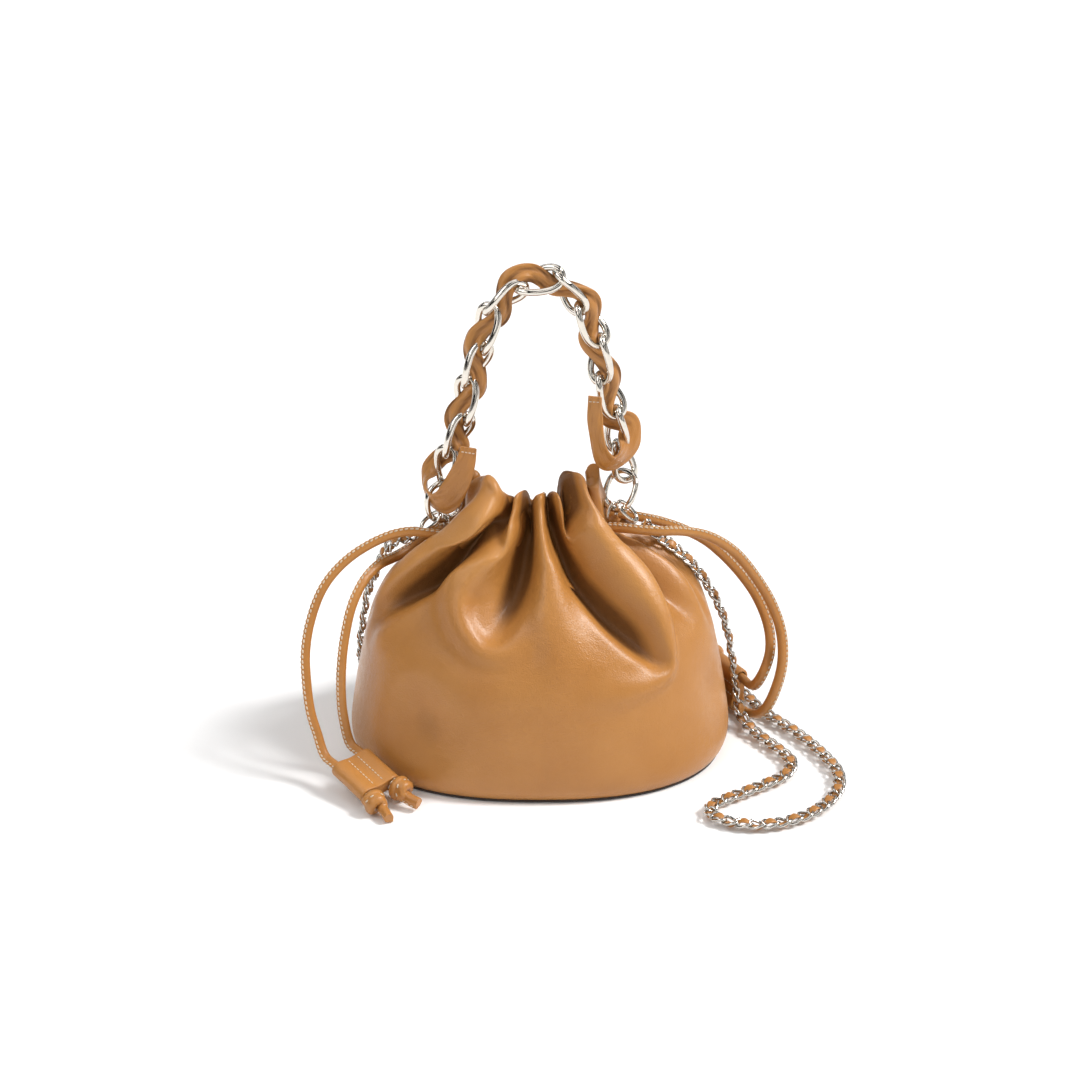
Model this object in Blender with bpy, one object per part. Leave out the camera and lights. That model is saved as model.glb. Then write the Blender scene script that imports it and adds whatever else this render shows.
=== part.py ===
"""Bucket bag with a drawstring neck, a chain top handle and a long chain strap.

Millimetres in the constants, metres in the scene, +Z up. The origin is the centre of
the base on the surface that the bag stands on.
"""
import math

import bmesh
import bpy
import numpy as np
from mathutils import Matrix, Vector

MM = 0.001

# Leather and gaps
GAP = 0.3                       # clearance between pieces that touch
LEATHER = 1.6                   # outer panels
LINING = 0.8
BASE_THICK = 2.0
BOARD = 2.0

# Body: height, half width, half depth, sideways shift of the centre
BODY = [
    (0, 104, 82, 0), (5, 108.5, 86.5, 0), (14, 110.5, 88, 0), (30, 108, 86.5, 0),
    (47, 105, 84, 0), (64, 101, 80, 0), (77, 95, 73.5, -1), (87, 87, 65.5, -2),
    (96, 78, 56, -3.5), (104, 69, 46, -5), (112, 58, 36, -6.5), (119, 48.5, 29, -6.5),
    (125, 42.5, 25.5, -5.5), (139, 39.5, 25, -4), (143, 35, 25, -4), (157, 33, 27, -3),
]
BASE_POWER = 2.4                # squareness of the plan at the base
NECK_POWER = 2.0                # and at the neck
SIDES = 20                      # facets along each panel
SEAM_ANGLE = 0.0032             # half the gap between the panels at a side seam

# Drawcords and their channel
CORD = 5.8
CORD_LEFT_Z = 129.5
CORD_RIGHT_Z = 136.0
CORD_INSET = LEATHER + GAP + CORD / 2 + 0.3
CORD_EXIT_Y = 9.5
CHANNEL = CORD_INSET + CORD / 2 + 1.3

# Rings, handle and strap
RING_R = 11.4                   # radii are those of the wire's centre line
RING_WIRE = 3.4
LINK_WIRE = 4.0
LINK_HALF_WIDTH = 6.8
LINK_LEAN = 42                  # tilt of a link's plane, alternately left and right
LINK_PLAY = 0.9                 # slack between the wires of two links
LINKS = 13
RIBBON = 3.6
RIBBON_COIL = 6.2               # radius of the ribbon's winding
STRAP = 8.0
HANDLE_PATH = [
    (-54.9, 0, 156.9), (-49.6, 0, 178), (-43, 0, 201), (-36.5, 0, 228), (-29, 0, 254),
    (-19.5, 0, 270.5), (-5, 0, 281), (9.5, 0, 279.5), (21, 0, 269), (28.5, 0, 254),
    (33, 0, 236), (38.5, 0, 211), (45, 3, 184), (49.4, 8.3, 159.8),
]
RIBBON_TAIL_LEFT = [(-41, -11, 185), (-45, -12, 175), (-54, -12.5, 169), (-64, -8, 167),
                    (-66, 2, 170)]
RIBBON_TAIL_RIGHT = [(58, 2, 186), (60, -5, 178), (52, -12, 174), (42, -14, 178),
                     (32, -12, 190), (30, -10, 211)]

# Rings: centre, long diameter's direction, direction of the other one in the ring's plane
RING_LEFT = ((-54.0, 0.0, 148.5), (-0.08, 0.0, 1.0), (0.85, 0.52, 0.07))
RING_RIGHT = ((45.5, 4.0, 153.2), (0.342, 0.382, 0.859), (0.641, -0.763, 0.085))
KEEPER_HALF = (5.2, 3.3)        # half length and half width of the loop under each ring
KEEPER_WIRE = 2.2
KEEPER_RISE = 3.4               # from the ring's lowest wire to the keeper's upper wire
TAB_LEFT = ((-55.8, -4.2, 127.2), (-49.4, 4.2, 132.0))
TAB_RIGHT = ((36.8, -6.2, 133.8), (42.4, 0.8, 138.8))

# Strap end rings: centre, long direction, wide direction
STRAP_RING_HALF = (7.6, 4.2)
STRAP_RING_WIRE = 2.4
STRAP_RING_LEFT = ((-62.1, -3.1, 137.1), (-0.712, 0.239, -0.662), (0.112, -0.891, -0.443))
STRAP_RING_RIGHT = ((49.5, -4.5, 143.8), (0.68, 0.13, -0.72), (-0.16, -0.93, -0.33))

# Sliders: centre, axis toward the knots, direction from one channel to the other
SLIDER_LENGTH = 28.0
SLIDER_PITCH = 18.0
SLIDER_THICK = 9.4
LEAD = 12.0                     # straight cord ahead of a slider, for its travel
SLIDER_BORE = CORD + 1.2
SLIDER_LEFT = ((-98.0, -75.5, 13.0), (16, -18, -6), (14, 12.5, 2))
SLIDER_RIGHT = ((112.5, 35.5, 15.4), (-0.46, 0.89, 0), (0.1, 0.05, 1))
KNOT_LENGTH = 13.0
KNOT_WIDTH = 12.0
KNOT_TAIL = 9.0

# Drawcords outside the bag: points after the straight run out of the hole
CORD_ROUTES = {
    "left_cord_front": [
        (-52, -9.5, 130.3), (-62, -10.5, 132.5), (-76, -12.5, 134.5), (-91, -17, 131.5),
        (-108, -24, 123), (-121, -31, 110), (-128.5, -37, 93), (-132, -43, 75),
        (-131.5, -49, 57), (-129.5, -54, 42), (-126, -57, 30)],
    "left_cord_back": [
        (-52, 10, 128.5), (-60, 13, 124.5), (-67.5, 14.5, 118.5), (-75, 11.5, 113.5),
        (-83, 3, 111.8), (-91.5, -9.5, 112.5), (-99.5, -21, 108), (-106, -31, 97),
        (-110, -38, 81), (-112, -43, 65), (-112.5, -46, 49), (-111.5, -47.5, 35)],
    "right_cord_front": [
        (45, -10.5, 136), (56, -12, 135.5), (68, -10.5, 134), (82, -4, 131),
        (97, 3, 124.5), (112, 9, 112), (125, 13, 94), (135, 14.5, 76), (141, 12, 58),
        (141.5, 7, 40), (136.5, 3.5, 22), (130.5, 4.5, 11)],
    "right_cord_back": [
        (46, 10.5, 135.5), (58, 14, 132), (70, 19, 127), (84, 24, 119.5), (99, 28, 109),
        (115, 30, 92), (127, 29, 75), (134, 23, 59), (135, 15, 46), (130.5, 8.5, 34)],
}
RUN_OUT = 3.3                   # straight cord outside the hole

# Strap route, from its left ring, down behind the bag, round the floor, and up to the right ring
STRAP_ROUTE = [
    (-69.9, -0.3, 129.6), (-75.5, 3, 125), (-83.5, 9.5, 119.5), (-91, 17.5, 107), (-97, 27, 90),
    (-102, 35, 74), (-105, 39, 57), (-107.5, 43, 40), (-107.5, 48, 24), (-102, 57, 11),
    (-90, 70, 5.2), (-72, 84, 4.4), (-46, 97, 4.4), (-15, 104, 4.4), (20, 104, 4.4),
    (52, 98, 4.4), (80, 86, 4.4), (103, 69, 4.4), (117, 52, 4.4), (124.5, 38, 4.4),
    (130, 24, 4.4), (138, 10, 4.4), (150, -8, 4.4), (162, -32, 4.4), (169.5, -56, 4.4),
    (167, -78, 4.4), (155.5, -97, 4.4), (140, -109.5, 4.4), (123, -115, 4.4),
    (107, -113, 4.4), (95.5, -105, 4.4), (96, -94, 4.4), (107.5, -84.5, 4.4),
    (124, -72.5, 4.4), (139, -60, 4.4), (144, -44, 4.4), (137.5, -28, 4.4),
    (128, -12, 4.6), (120.5, 1.5, 7), (117, 9.5, 16), (114.8, 13, 30), (112.6, 14.5, 46),
    (109.5, 15, 61), (104.5, 14.5, 76), (97.5, 13, 90), (89, 11, 103), (79, 8.5, 114),
    (71, 5.5, 122), (64.5, 1.5, 129.5), (57.4, -3.8, 137.9),
]


def clear_scene():
    for old in list(bpy.data.objects):
        bpy.data.objects.remove(old, do_unlink=True)


def material(name, colour, roughness, metallic=0.0):
    mat = bpy.data.materials.new(name)
    mat.use_nodes = True
    shader = mat.node_tree.nodes["Principled BSDF"]
    shader.inputs["Base Color"].default_value = (*colour, 1)
    shader.inputs["Roughness"].default_value = roughness
    shader.inputs["Metallic"].default_value = metallic
    return mat


def link_object(name, data, mat):
    obj = bpy.data.objects.new(name, data)
    bpy.context.scene.collection.objects.link(obj)
    data.materials.append(mat)
    return obj


def set_origin(obj, point):
    """Moves the object's origin to a point in mm without moving its shape."""
    at = Vector(point) * MM
    obj.data.transform(Matrix.Translation(-at))
    obj.location = at


def mesh_object(name, points, faces, mat, angle=35):
    """A mesh from points in mm, its faces turned outward."""
    mesh = bpy.data.meshes.new(name)
    mesh.from_pydata([Vector(p) * MM for p in points], [], faces)
    bm = bmesh.new()
    bm.from_mesh(mesh)
    bmesh.ops.recalc_face_normals(bm, faces=bm.faces)
    bm.to_mesh(mesh)
    bm.free()
    mesh.shade_smooth()
    mesh.set_sharp_from_angle(angle=math.radians(angle))
    return link_object(name, mesh, mat)


# ---------------------------------------------------------------- body

def section(z):
    """Half width, half depth, shift and squareness of the body at height z."""
    table = np.array(BODY, float).T
    a, b, shift = (np.interp(z, table[0], row) for row in table[1:])
    power = BASE_POWER + (NECK_POWER - BASE_POWER) * min(1.0, z / 110)
    return a, b, shift, power


def body_point(angle, z, inset=0.0):
    a, b, shift, power = section(z)
    c, s = math.cos(angle), math.sin(angle)
    x = (a - inset) * math.copysign(abs(c) ** (2 / power), c)
    y = (b - inset) * math.copysign(abs(s) ** (2 / power), s)
    return (shift + x, y, z)


def ring_grid(rings, closed):
    """Quads between rings of equal length; closed joins the last ring to the first."""
    count = len(rings[0])
    faces = []
    last = len(rings) if closed else len(rings) - 1
    for i in range(last):
        here, there = i * count, (i + 1) % len(rings) * count
        for j in range(count):
            k = (j + 1) % count
            faces.append((here + j, here + k, there + k, there + j))
    return [p for ring in rings for p in ring], faces


def full_turn(z, inset, count=SIDES):
    return [body_point(2 * math.pi * j / count, z, inset) for j in range(count)]


def panel(name, start, mat):
    """Half of the outer leather, from one side seam to the other."""
    angles = np.linspace(start + SEAM_ANGLE, start + math.pi - SEAM_ANGLE, SIDES + 1)
    heights = [row[0] for row in BODY]
    rings = []
    for inset, rows in ((0.0, heights), (LEATHER, heights[::-1])):
        rings += [[body_point(t, z, inset) for t in angles] for z in rows]
    points = [p for ring in rings for p in ring]
    count, total = len(angles), len(rings)
    faces = []
    for i in range(total):
        here, there = i * count, (i + 1) % total * count
        for j in range(count - 1):
            faces.append((here + j, here + j + 1, there + j + 1, there + j))
    for j in (0, count - 1):
        for i in range(len(heights) - 1):
            mirror = total - 1 - i
            faces.append((i * count + j, (i + 1) * count + j,
                          (mirror - 1) * count + j, mirror * count + j))
    return mesh_object(name, points, faces, mat)


def cut(target, cutter):
    cutter.hide_render = True
    cutter.display_type = "WIRE"
    boolean = target.modifiers.new("cut", "BOOLEAN")
    boolean.object = cutter
    boolean.operation = "DIFFERENCE"


def rod(name, start, end, radius, mat, sides=16):
    """A cylinder between two points in mm."""
    a, b = Vector(start), Vector(end)
    turn = (b - a).to_track_quat("Z", "Y")
    rings = []
    for at in (a, b):
        rings.append([at + turn @ Vector((radius * math.cos(t), radius * math.sin(t), 0))
                      for t in np.linspace(0, 2 * math.pi, sides, endpoint=False)])
    points, faces = ring_grid(rings, closed=False)
    faces += [tuple(range(sides)), tuple(range(sides, 2 * sides))]
    return mesh_object(name, points, faces, mat)


def build_body(leather, cloth, dark):
    front = panel("front_panel", math.pi, leather)
    back = panel("back_panel", 0.0, leather)
    for side, z in ((-1, CORD_LEFT_Z), (1, CORD_RIGHT_Z)):
        for piece, y in ((front, -CORD_EXIT_Y), (back, CORD_EXIT_Y)):
            start = exit_x(side, z) - side * 7
            hole = rod("hole_cutter", (start, y, z), (start + side * 40, y, z),
                       CORD / 2 + 0.5, dark)
            cut(piece, hole)

    plate("base_panel", 0, BASE_THICK, LEATHER + GAP, leather)
    board_z = BASE_THICK + GAP
    plate("base_board", board_z, board_z + BOARD, 6.0, dark)
    build_lining(board_z + BOARD + GAP, cloth)
    build_facing(leather)


def plate(name, low, high, inset, mat):
    """A flat plate with the body's plan."""
    count = 2 * SIDES
    points, faces = ring_grid([full_turn(z, inset, count) for z in (low, high)], closed=False)
    faces += [tuple(range(count)), tuple(range(count, 2 * count))]
    mesh_object(name, points, faces, mat)


def build_lining(floor, mat):
    """A cup of thin cloth: outer rings up, inner rings down, both ends closed."""
    inset = LEATHER + GAP
    heights = [floor, 14, 30, 47, 64, 77, 87, 96, 104, 110]
    outer = [full_turn(z, inset + (6.5 if z == floor else 0)) for z in heights]
    inner_heights = heights[::-1][:-1] + [floor + LINING]
    inner = [full_turn(z, inset + LINING + (6.5 if z < 10 else 0)) for z in inner_heights]
    rings = outer + inner
    points, faces = ring_grid(rings, closed=False)
    count = len(rings[0])
    faces += [tuple(range(count)), tuple(range(len(points) - count, len(points)))]
    mesh_object("lining", points, faces, mat)


def build_facing(mat):
    """The leather band inside the neck that makes the channel of the drawcords."""
    profile = [(112, LEATHER + GAP), (119, LEATHER + GAP + 3), (125, CHANNEL), (139, CHANNEL),
               (143, CHANNEL - 2), (148, LEATHER + GAP + 0.3), (155, LEATHER + GAP)]
    rings = [full_turn(z, inset) for z, inset in profile]
    rings += [full_turn(z, inset + 1.0) for z, inset in profile[::-1]]
    points, faces = ring_grid(rings, closed=True)
    mesh_object("rim_facing", points, faces, mat)


# ---------------------------------------------------------------- cords

def smooth_route(route, step):
    """Points at equal steps along a centripetal-like smooth curve through the route."""
    p = np.array(route, float)
    ends = np.vstack([2 * p[0] - p[1], p, 2 * p[-1] - p[-2]])
    fine = []
    for i in range(1, len(ends) - 2):
        a, b, c, d = ends[i - 1:i + 3]
        for t in np.linspace(0, 1, 24, endpoint=False):
            fine.append(0.5 * (2 * b + (c - a) * t + (2 * a - 5 * b + 4 * c - d) * t ** 2
                               + (3 * b - a - 3 * c + d) * t ** 3))
    fine = np.array(fine + [p[-1]])
    run = np.concatenate([[0], np.cumsum(np.linalg.norm(np.diff(fine, axis=0), axis=1))])
    stops = np.linspace(0, run[-1], max(3, round(run[-1] / step) + 1))
    return np.stack([np.interp(stops, run, fine[:, k]) for k in range(3)], axis=1)


def tube(name, points, diameter, mat, resolution=2):
    curve = bpy.data.curves.new(name, "CURVE")
    curve.dimensions = "3D"
    curve.bevel_depth = diameter / 2 * MM
    curve.bevel_resolution = resolution
    curve.use_fill_caps = True
    spline = curve.splines.new("POLY")
    spline.points.add(len(points) - 1)
    for point, at in zip(spline.points, points):
        point.co = (at[0] * MM, at[1] * MM, at[2] * MM, 1)
    spline.use_smooth = True
    return link_object(name, curve, mat)


def channel_cord(name, side, z, mat):
    """A drawcord's stretch inside the channel: a turn of the neck, open on one side."""
    a, b, shift, _ = section(z)
    a, b = a - CORD_INSET, b - CORD_INSET
    open_angle = math.asin((CORD_EXIT_Y + 8) / b)
    start = open_angle if side > 0 else math.pi + open_angle
    turn = np.linspace(start, start + 2 * math.pi - 2 * open_angle, 16)
    points = [(shift + a * math.cos(t), b * math.sin(t), z) for t in turn]
    mouth = exit_x(side, z)
    first, last = (math.copysign(CORD_EXIT_Y, math.sin(t)) for t in (turn[0], turn[-1]))
    bend = smooth_route([(mouth - side * 4, first, z), *points, (mouth - side * 4, last, z)],
                        2 * CORD)
    return tube(name, [(mouth, first, z), *bend, (mouth, last, z)], CORD, mat)


def exit_x(side, z):
    """Where a drawcord's channel stretch ends, inside its hole in the panel."""
    a, b, shift, _ = section(z)
    return shift + side * (a * math.sqrt(1 - (CORD_EXIT_Y / b) ** 2) - LEATHER)


def free_cord(name, side, z, channel, slider, mat):
    """A drawcord's free end, from its hole to the slider and through it up to the knot."""
    y = channel * CORD_EXIT_Y
    mouth = exit_x(side, z)
    entry, leave = channel_ends(slider, channel)
    axis = (leave - entry).normalized()
    straight = [entry - axis * LEAD, entry, leave, leave + axis * GAP]
    route = [(mouth + side * RUN_OUT, y, z), *CORD_ROUTES[name], *[tuple(p) for p in straight]]
    points = smooth_route(route, 2 * CORD)
    return tube(name, [(mouth + side * GAP, y, z), *points], CORD, mat)


def channel_ends(slider, channel):
    centre, axis, across = (Vector(v) for v in slider)
    axis.normalize()
    across = (across - axis * across.dot(axis)).normalized()
    middle = centre + across * (SLIDER_PITCH / 2 * channel)
    return middle - axis * SLIDER_LENGTH / 2, middle + axis * SLIDER_LENGTH / 2


def slider_block(name, slider, mat):
    """Two leather sleeves side by side, with a bore for each cord."""
    centre, axis, across = (Vector(v) for v in slider)
    axis.normalize()
    across = (across - axis * across.dot(axis)).normalized()
    normal = axis.cross(across)
    half, radius = SLIDER_PITCH / 2, SLIDER_THICK / 2
    outline = []
    for side in (1, -1):
        for t in np.linspace(-math.pi / 2, math.pi / 2, 8):
            outline.append((side * (half + radius * math.cos(t)), side * radius * math.sin(t)))
    rings = [[centre + across * u + normal * v + axis * w for u, v in outline]
             for w in (-SLIDER_LENGTH / 2, SLIDER_LENGTH / 2)]
    points, faces = ring_grid(rings, closed=False)
    count = len(outline)
    faces += [tuple(range(count)), tuple(range(count, 2 * count))]
    block = mesh_object(name, points, faces, mat)
    for channel in (-1, 1):
        entry, leave = channel_ends(slider, channel)
        reach = axis * 2
        cut(block, rod("bore_cutter", entry - reach, leave + reach, SLIDER_BORE / 2, mat, 12))
    set_origin(block, centre)
    return block


def knot(name, slider, channel, mat):
    """An overhand knot with its short tail, as a turned lump on the cord's axis."""
    entry, leave = channel_ends(slider, channel)
    axis = (leave - entry).normalized()
    start = leave + axis * (2 * GAP)
    turn = axis.to_track_quat("Z", "Y")
    half = KNOT_LENGTH / 2
    profile = [(half * (1 - math.cos(t)), max(KNOT_WIDTH / 2 * math.sin(t), CORD / 2))
               for t in np.linspace(0.35, math.pi - 0.35, 7)]
    profile.append((profile[-1][0] + KNOT_TAIL, CORD / 2))
    first = profile[0][0]
    rings = [[start + turn @ Vector((r * math.cos(t), r * math.sin(t), h - first))
              for t in np.linspace(0, 2 * math.pi, 12, endpoint=False)] for h, r in profile]
    points, faces = ring_grid(rings, closed=False)
    faces += [tuple(range(12)), tuple(range(len(points) - 12, len(points)))]
    return mesh_object(name, points, faces, mat)


def build_drawcords(leather):
    for side, label, z, slider in ((-1, "left", CORD_LEFT_Z, SLIDER_LEFT),
                                   (1, "right", CORD_RIGHT_Z, SLIDER_RIGHT)):
        channel_cord(f"drawcord_{label}_channel", side, z, leather)
        for place, channel in (("front", -1), ("back", 1)):
            free_cord(f"{label}_cord_{place}", side, z, channel, slider, leather)
            knot(f"{label}_knot_{place}", slider, channel, leather)
        slider_block(f"slider_{label}", slider, leather)


# ---------------------------------------------------------------- metal

def wire_loop(name, centre, long_axis, wide_axis, half_length, half_width, wire, mat,
              around=24, sides=8):
    """A closed oval of round wire: two half circles joined by straight sides."""
    u, v = Vector(long_axis).normalized(), Vector(wide_axis)
    v = (v - u * v.dot(u)).normalized()
    w = u.cross(v)
    bend = min(half_length, half_width)
    rings = []
    for k in range(around):
        t = 2 * math.pi * (k + 0.5) / around
        c, s = math.cos(t), math.sin(t)
        along = bend * c + math.copysign(half_length - bend, c)
        across = half_width * s
        out = u * c + v * s
        at = Vector(centre) + u * along + v * across
        rings.append([at + out * (wire / 2 * math.cos(q)) + w * (wire / 2 * math.sin(q))
                      for q in np.linspace(0, 2 * math.pi, sides, endpoint=False)])
    points, faces = ring_grid(rings, closed=True)
    return mesh_object(name, points, faces, mat, angle=80)


def handle_line():
    """The handle's centre line at close steps, and the length run at each of its points."""
    line = smooth_route(HANDLE_PATH, 1.0)
    run = np.concatenate([[0], np.cumsum(np.linalg.norm(np.diff(line, axis=0), axis=1))])
    return line, run


def along_handle(line, run, distance):
    return Vector([np.interp(distance, run, line[:, k]) for k in range(3)])


def link_frames():
    """Centre, direction, width direction and half length of every link of the handle."""
    line, run = handle_line()
    joints = [along_handle(line, run, s) for s in np.linspace(0, run[-1], LINKS + 1)]
    frames = []
    for i in range(LINKS):
        along = joints[i + 1] - joints[i]
        wide = lean_direction(along, -1 if i % 2 else 1)
        half = along.length / 2 + (LINK_WIRE + LINK_PLAY) / 2
        frames.append(((joints[i] + joints[i + 1]) / 2, along.normalized(), wide, half))
    return frames


def lean_direction(along, way):
    flat = Vector((0, 1, 0))
    side = along.cross(flat).normalized()
    lean = math.radians(LINK_LEAN) * way
    return flat * math.cos(lean) + side * math.sin(lean)


def ribbon_route():
    """The leather ribbon: through every other link, round the links between, tails in front."""
    line, run = handle_line()
    pitch = run[-1] / LINKS
    points = []
    for s in np.arange(pitch / 2, run[-1] - pitch / 3, pitch / 6):
        here, ahead = along_handle(line, run, s - 1), along_handle(line, run, s + 1)
        along = (ahead - here).normalized()
        wide = lean_direction(along, 1)
        normal = along.cross(wide)
        turn = math.pi * (s - pitch / 2) / pitch
        offset = wide * (1 - math.cos(turn)) - normal * math.sin(turn)
        points.append(tuple((here + ahead) / 2 - offset * RIBBON_COIL))
    return [*RIBBON_TAIL_LEFT, *points, *RIBBON_TAIL_RIGHT]


def build_handle(metal, leather):
    """Links and ribbon, carried by an empty on the axis that the handle folds about."""
    hinge = bpy.data.objects.new("handle_hinge", None)
    bpy.context.scene.collection.objects.link(hinge)
    centre, up, _ = (Vector(part) for part in RING_LEFT)
    hinge.location = (centre + up.normalized() * RING_R) * MM
    pieces = [wire_loop(f"handle_link_{i + 1:02d}", *frame, LINK_HALF_WIDTH, LINK_WIRE,
                        metal, 20, 6) for i, frame in enumerate(link_frames())]
    pieces.append(tube("handle_ribbon", smooth_route(ribbon_route(), 2.6 * RIBBON),
                       RIBBON, leather))
    for piece in pieces:
        piece.parent = hinge
        piece.location = -hinge.location


def keeper(name, ring, mat, wire=KEEPER_WIRE):
    """The small loop that ties a ring to its tab, across the ring's lowest wire."""
    centre, u, v = (Vector(part) for part in ring)
    u.normalize()
    lowest = centre - u * RING_R
    half_length, half_width = KEEPER_HALF
    middle = lowest + u * (KEEPER_RISE - half_length)
    return wire_loop(name, middle, u, u.cross(v), half_length, half_width, wire, mat, 16)


def tab(name, box, ring, mat):
    """A folded leather tab from the side seam, closed round the keeper's lower wire."""
    low, high = box
    points = [(x, y, z) for x in (low[0], high[0]) for y in (low[1], high[1])
              for z in (low[2], high[2])]
    faces = [(0, 1, 3, 2), (4, 6, 7, 5), (0, 4, 5, 1), (2, 3, 7, 6), (0, 2, 6, 4), (1, 5, 7, 3)]
    block = mesh_object(name, points, faces, mat)
    cut(block, keeper("keeper_cutter", ring, mat, KEEPER_WIRE + 2 * GAP))


def build_rings(metal, leather):
    for name, ring, box, strap in (("left", RING_LEFT, TAB_LEFT, STRAP_RING_LEFT),
                                   ("right", RING_RIGHT, TAB_RIGHT, STRAP_RING_RIGHT)):
        centre, u, v = ring
        loop = wire_loop(f"ring_{name}", centre, u, v, RING_R, RING_R, RING_WIRE, metal)
        set_origin(loop, Vector(centre) - Vector(u).normalized() * RING_R)
        keeper(f"keeper_{name}", ring, metal)
        tab(f"tab_{name}", box, ring, leather)
        wire_loop(f"strap_ring_{name}", *strap, *STRAP_RING_HALF, STRAP_RING_WIRE, metal, 16)


def build_strap(metal):
    tube("strap_chain", smooth_route(STRAP_ROUTE, 2.6 * STRAP), STRAP, metal)


def main():
    clear_scene()
    leather = material("tan leather", (0.56, 0.27, 0.09), 0.42)
    cloth = material("lining cloth", (0.42, 0.27, 0.14), 0.9)
    dark = material("base board", (0.16, 0.12, 0.09), 0.8)
    metal = material("polished metal", (0.82, 0.79, 0.73), 0.16, 1.0)
    build_body(leather, cloth, dark)
    build_drawcords(leather)
    build_rings(metal, leather)
    build_handle(metal, leather)
    build_strap(metal)


main()
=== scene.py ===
"""The looks of a gathered leather bucket bag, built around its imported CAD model.

Constants are millimetres; meshes are metres, in the CAD frame: +Z up, -Y to the front.
"""
import math

import bmesh
import bpy
import numpy as np
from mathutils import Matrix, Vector


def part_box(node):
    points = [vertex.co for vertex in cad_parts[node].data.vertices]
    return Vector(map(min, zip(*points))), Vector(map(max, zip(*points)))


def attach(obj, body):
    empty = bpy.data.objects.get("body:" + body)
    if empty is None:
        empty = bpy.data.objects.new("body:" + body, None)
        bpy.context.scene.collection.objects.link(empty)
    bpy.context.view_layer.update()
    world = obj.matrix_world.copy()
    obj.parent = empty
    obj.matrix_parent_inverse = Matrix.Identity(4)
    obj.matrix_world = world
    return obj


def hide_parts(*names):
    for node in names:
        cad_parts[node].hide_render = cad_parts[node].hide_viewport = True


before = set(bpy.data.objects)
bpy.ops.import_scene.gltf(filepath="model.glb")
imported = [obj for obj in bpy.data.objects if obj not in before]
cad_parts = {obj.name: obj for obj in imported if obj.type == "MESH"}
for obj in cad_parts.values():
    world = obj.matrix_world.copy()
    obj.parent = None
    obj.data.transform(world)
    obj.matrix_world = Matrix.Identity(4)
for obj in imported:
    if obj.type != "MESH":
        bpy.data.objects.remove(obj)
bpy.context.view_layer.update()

MM = 0.001
LEVEL = np.array([1, 1, 0])
rng = np.random.default_rng(7)

# ---------------------------------------------------------------- shared numbers of the CAD
# Rows of the plain body: (height, half width, half depth, shift to the right).
BODY = [
    (0, 104, 82, 0), (5, 108.5, 86.5, 0), (14, 110.5, 88, 0), (30, 108, 86.5, 0),
    (47, 105, 84, 0), (64, 101, 80, 0), (77, 95, 73.5, -1), (87, 87, 65.5, -2),
    (96, 78, 56, -3.5), (104, 69, 46, -5), (112, 58, 36, -6.5), (119, 48.5, 29, -6.5),
    (125, 42.5, 25.5, -5.5), (139, 39.5, 25, -4), (143, 38, 25, -4), (157, 37, 26, -4),
]
# Drawcords: diameter, height and depth where they leave the neck, and their straight ends.
CORD_Z = {"left": 129.5, "right": 136.0}
CORD_EXIT_Y = 9.5
LEATHER = 1.6
GAP = 0.3
LEAD = 12.0
RUN_OUT = 3.3
RING_R, RING_WIRE = 11.4, 3.4
LINK_WIRE, LINK_HALF_WIDTH, LINK_LEAN, LINK_PLAY, LINKS = 4.0, 6.8, 42, 0.9, 13
HANDLE_PATH = [
    (-54.9, 0, 156.9), (-49.6, 0, 178), (-43, 0, 201), (-36.5, 0, 228), (-29, 0, 254),
    (-19.5, 0, 270.5), (-5, 0, 281), (9.5, 0, 279.5), (21, 0, 269), (28.5, 0, 254),
    (33, 0, 236), (38.5, 0, 211), (45, 3, 184), (49.4, 8.3, 159.8),
]
# Rings: (centre, long direction, wide direction). Half sizes are (long, wide).
RING = {
    "left": ((-54.0, 0.0, 148.5), (-0.08, 0.0, 1.0), (0.85, 0.52, 0.07)),
    "right": ((45.5, 4.0, 153.2), (0.342, 0.382, 0.859), (0.641, -0.763, 0.085)),
}
KEEPER_HALF, KEEPER_WIRE, KEEPER_RISE = (5.2, 3.3), 2.2, 3.4
STRAP_RING_HALF, STRAP_RING_WIRE = (7.6, 4.2), 2.4
STRAP_RING = {
    "left": ((-62.1, -3.1, 137.1), (-0.712, 0.239, -0.662), (0.112, -0.891, -0.443)),
    "right": ((49.5, -4.5, 143.8), (0.68, 0.13, -0.72), (-0.16, -0.93, -0.33)),
}
SLIDER_LENGTH, SLIDER_PITCH, SLIDER_THICK = 28.0, 18.0, 9.4
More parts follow.
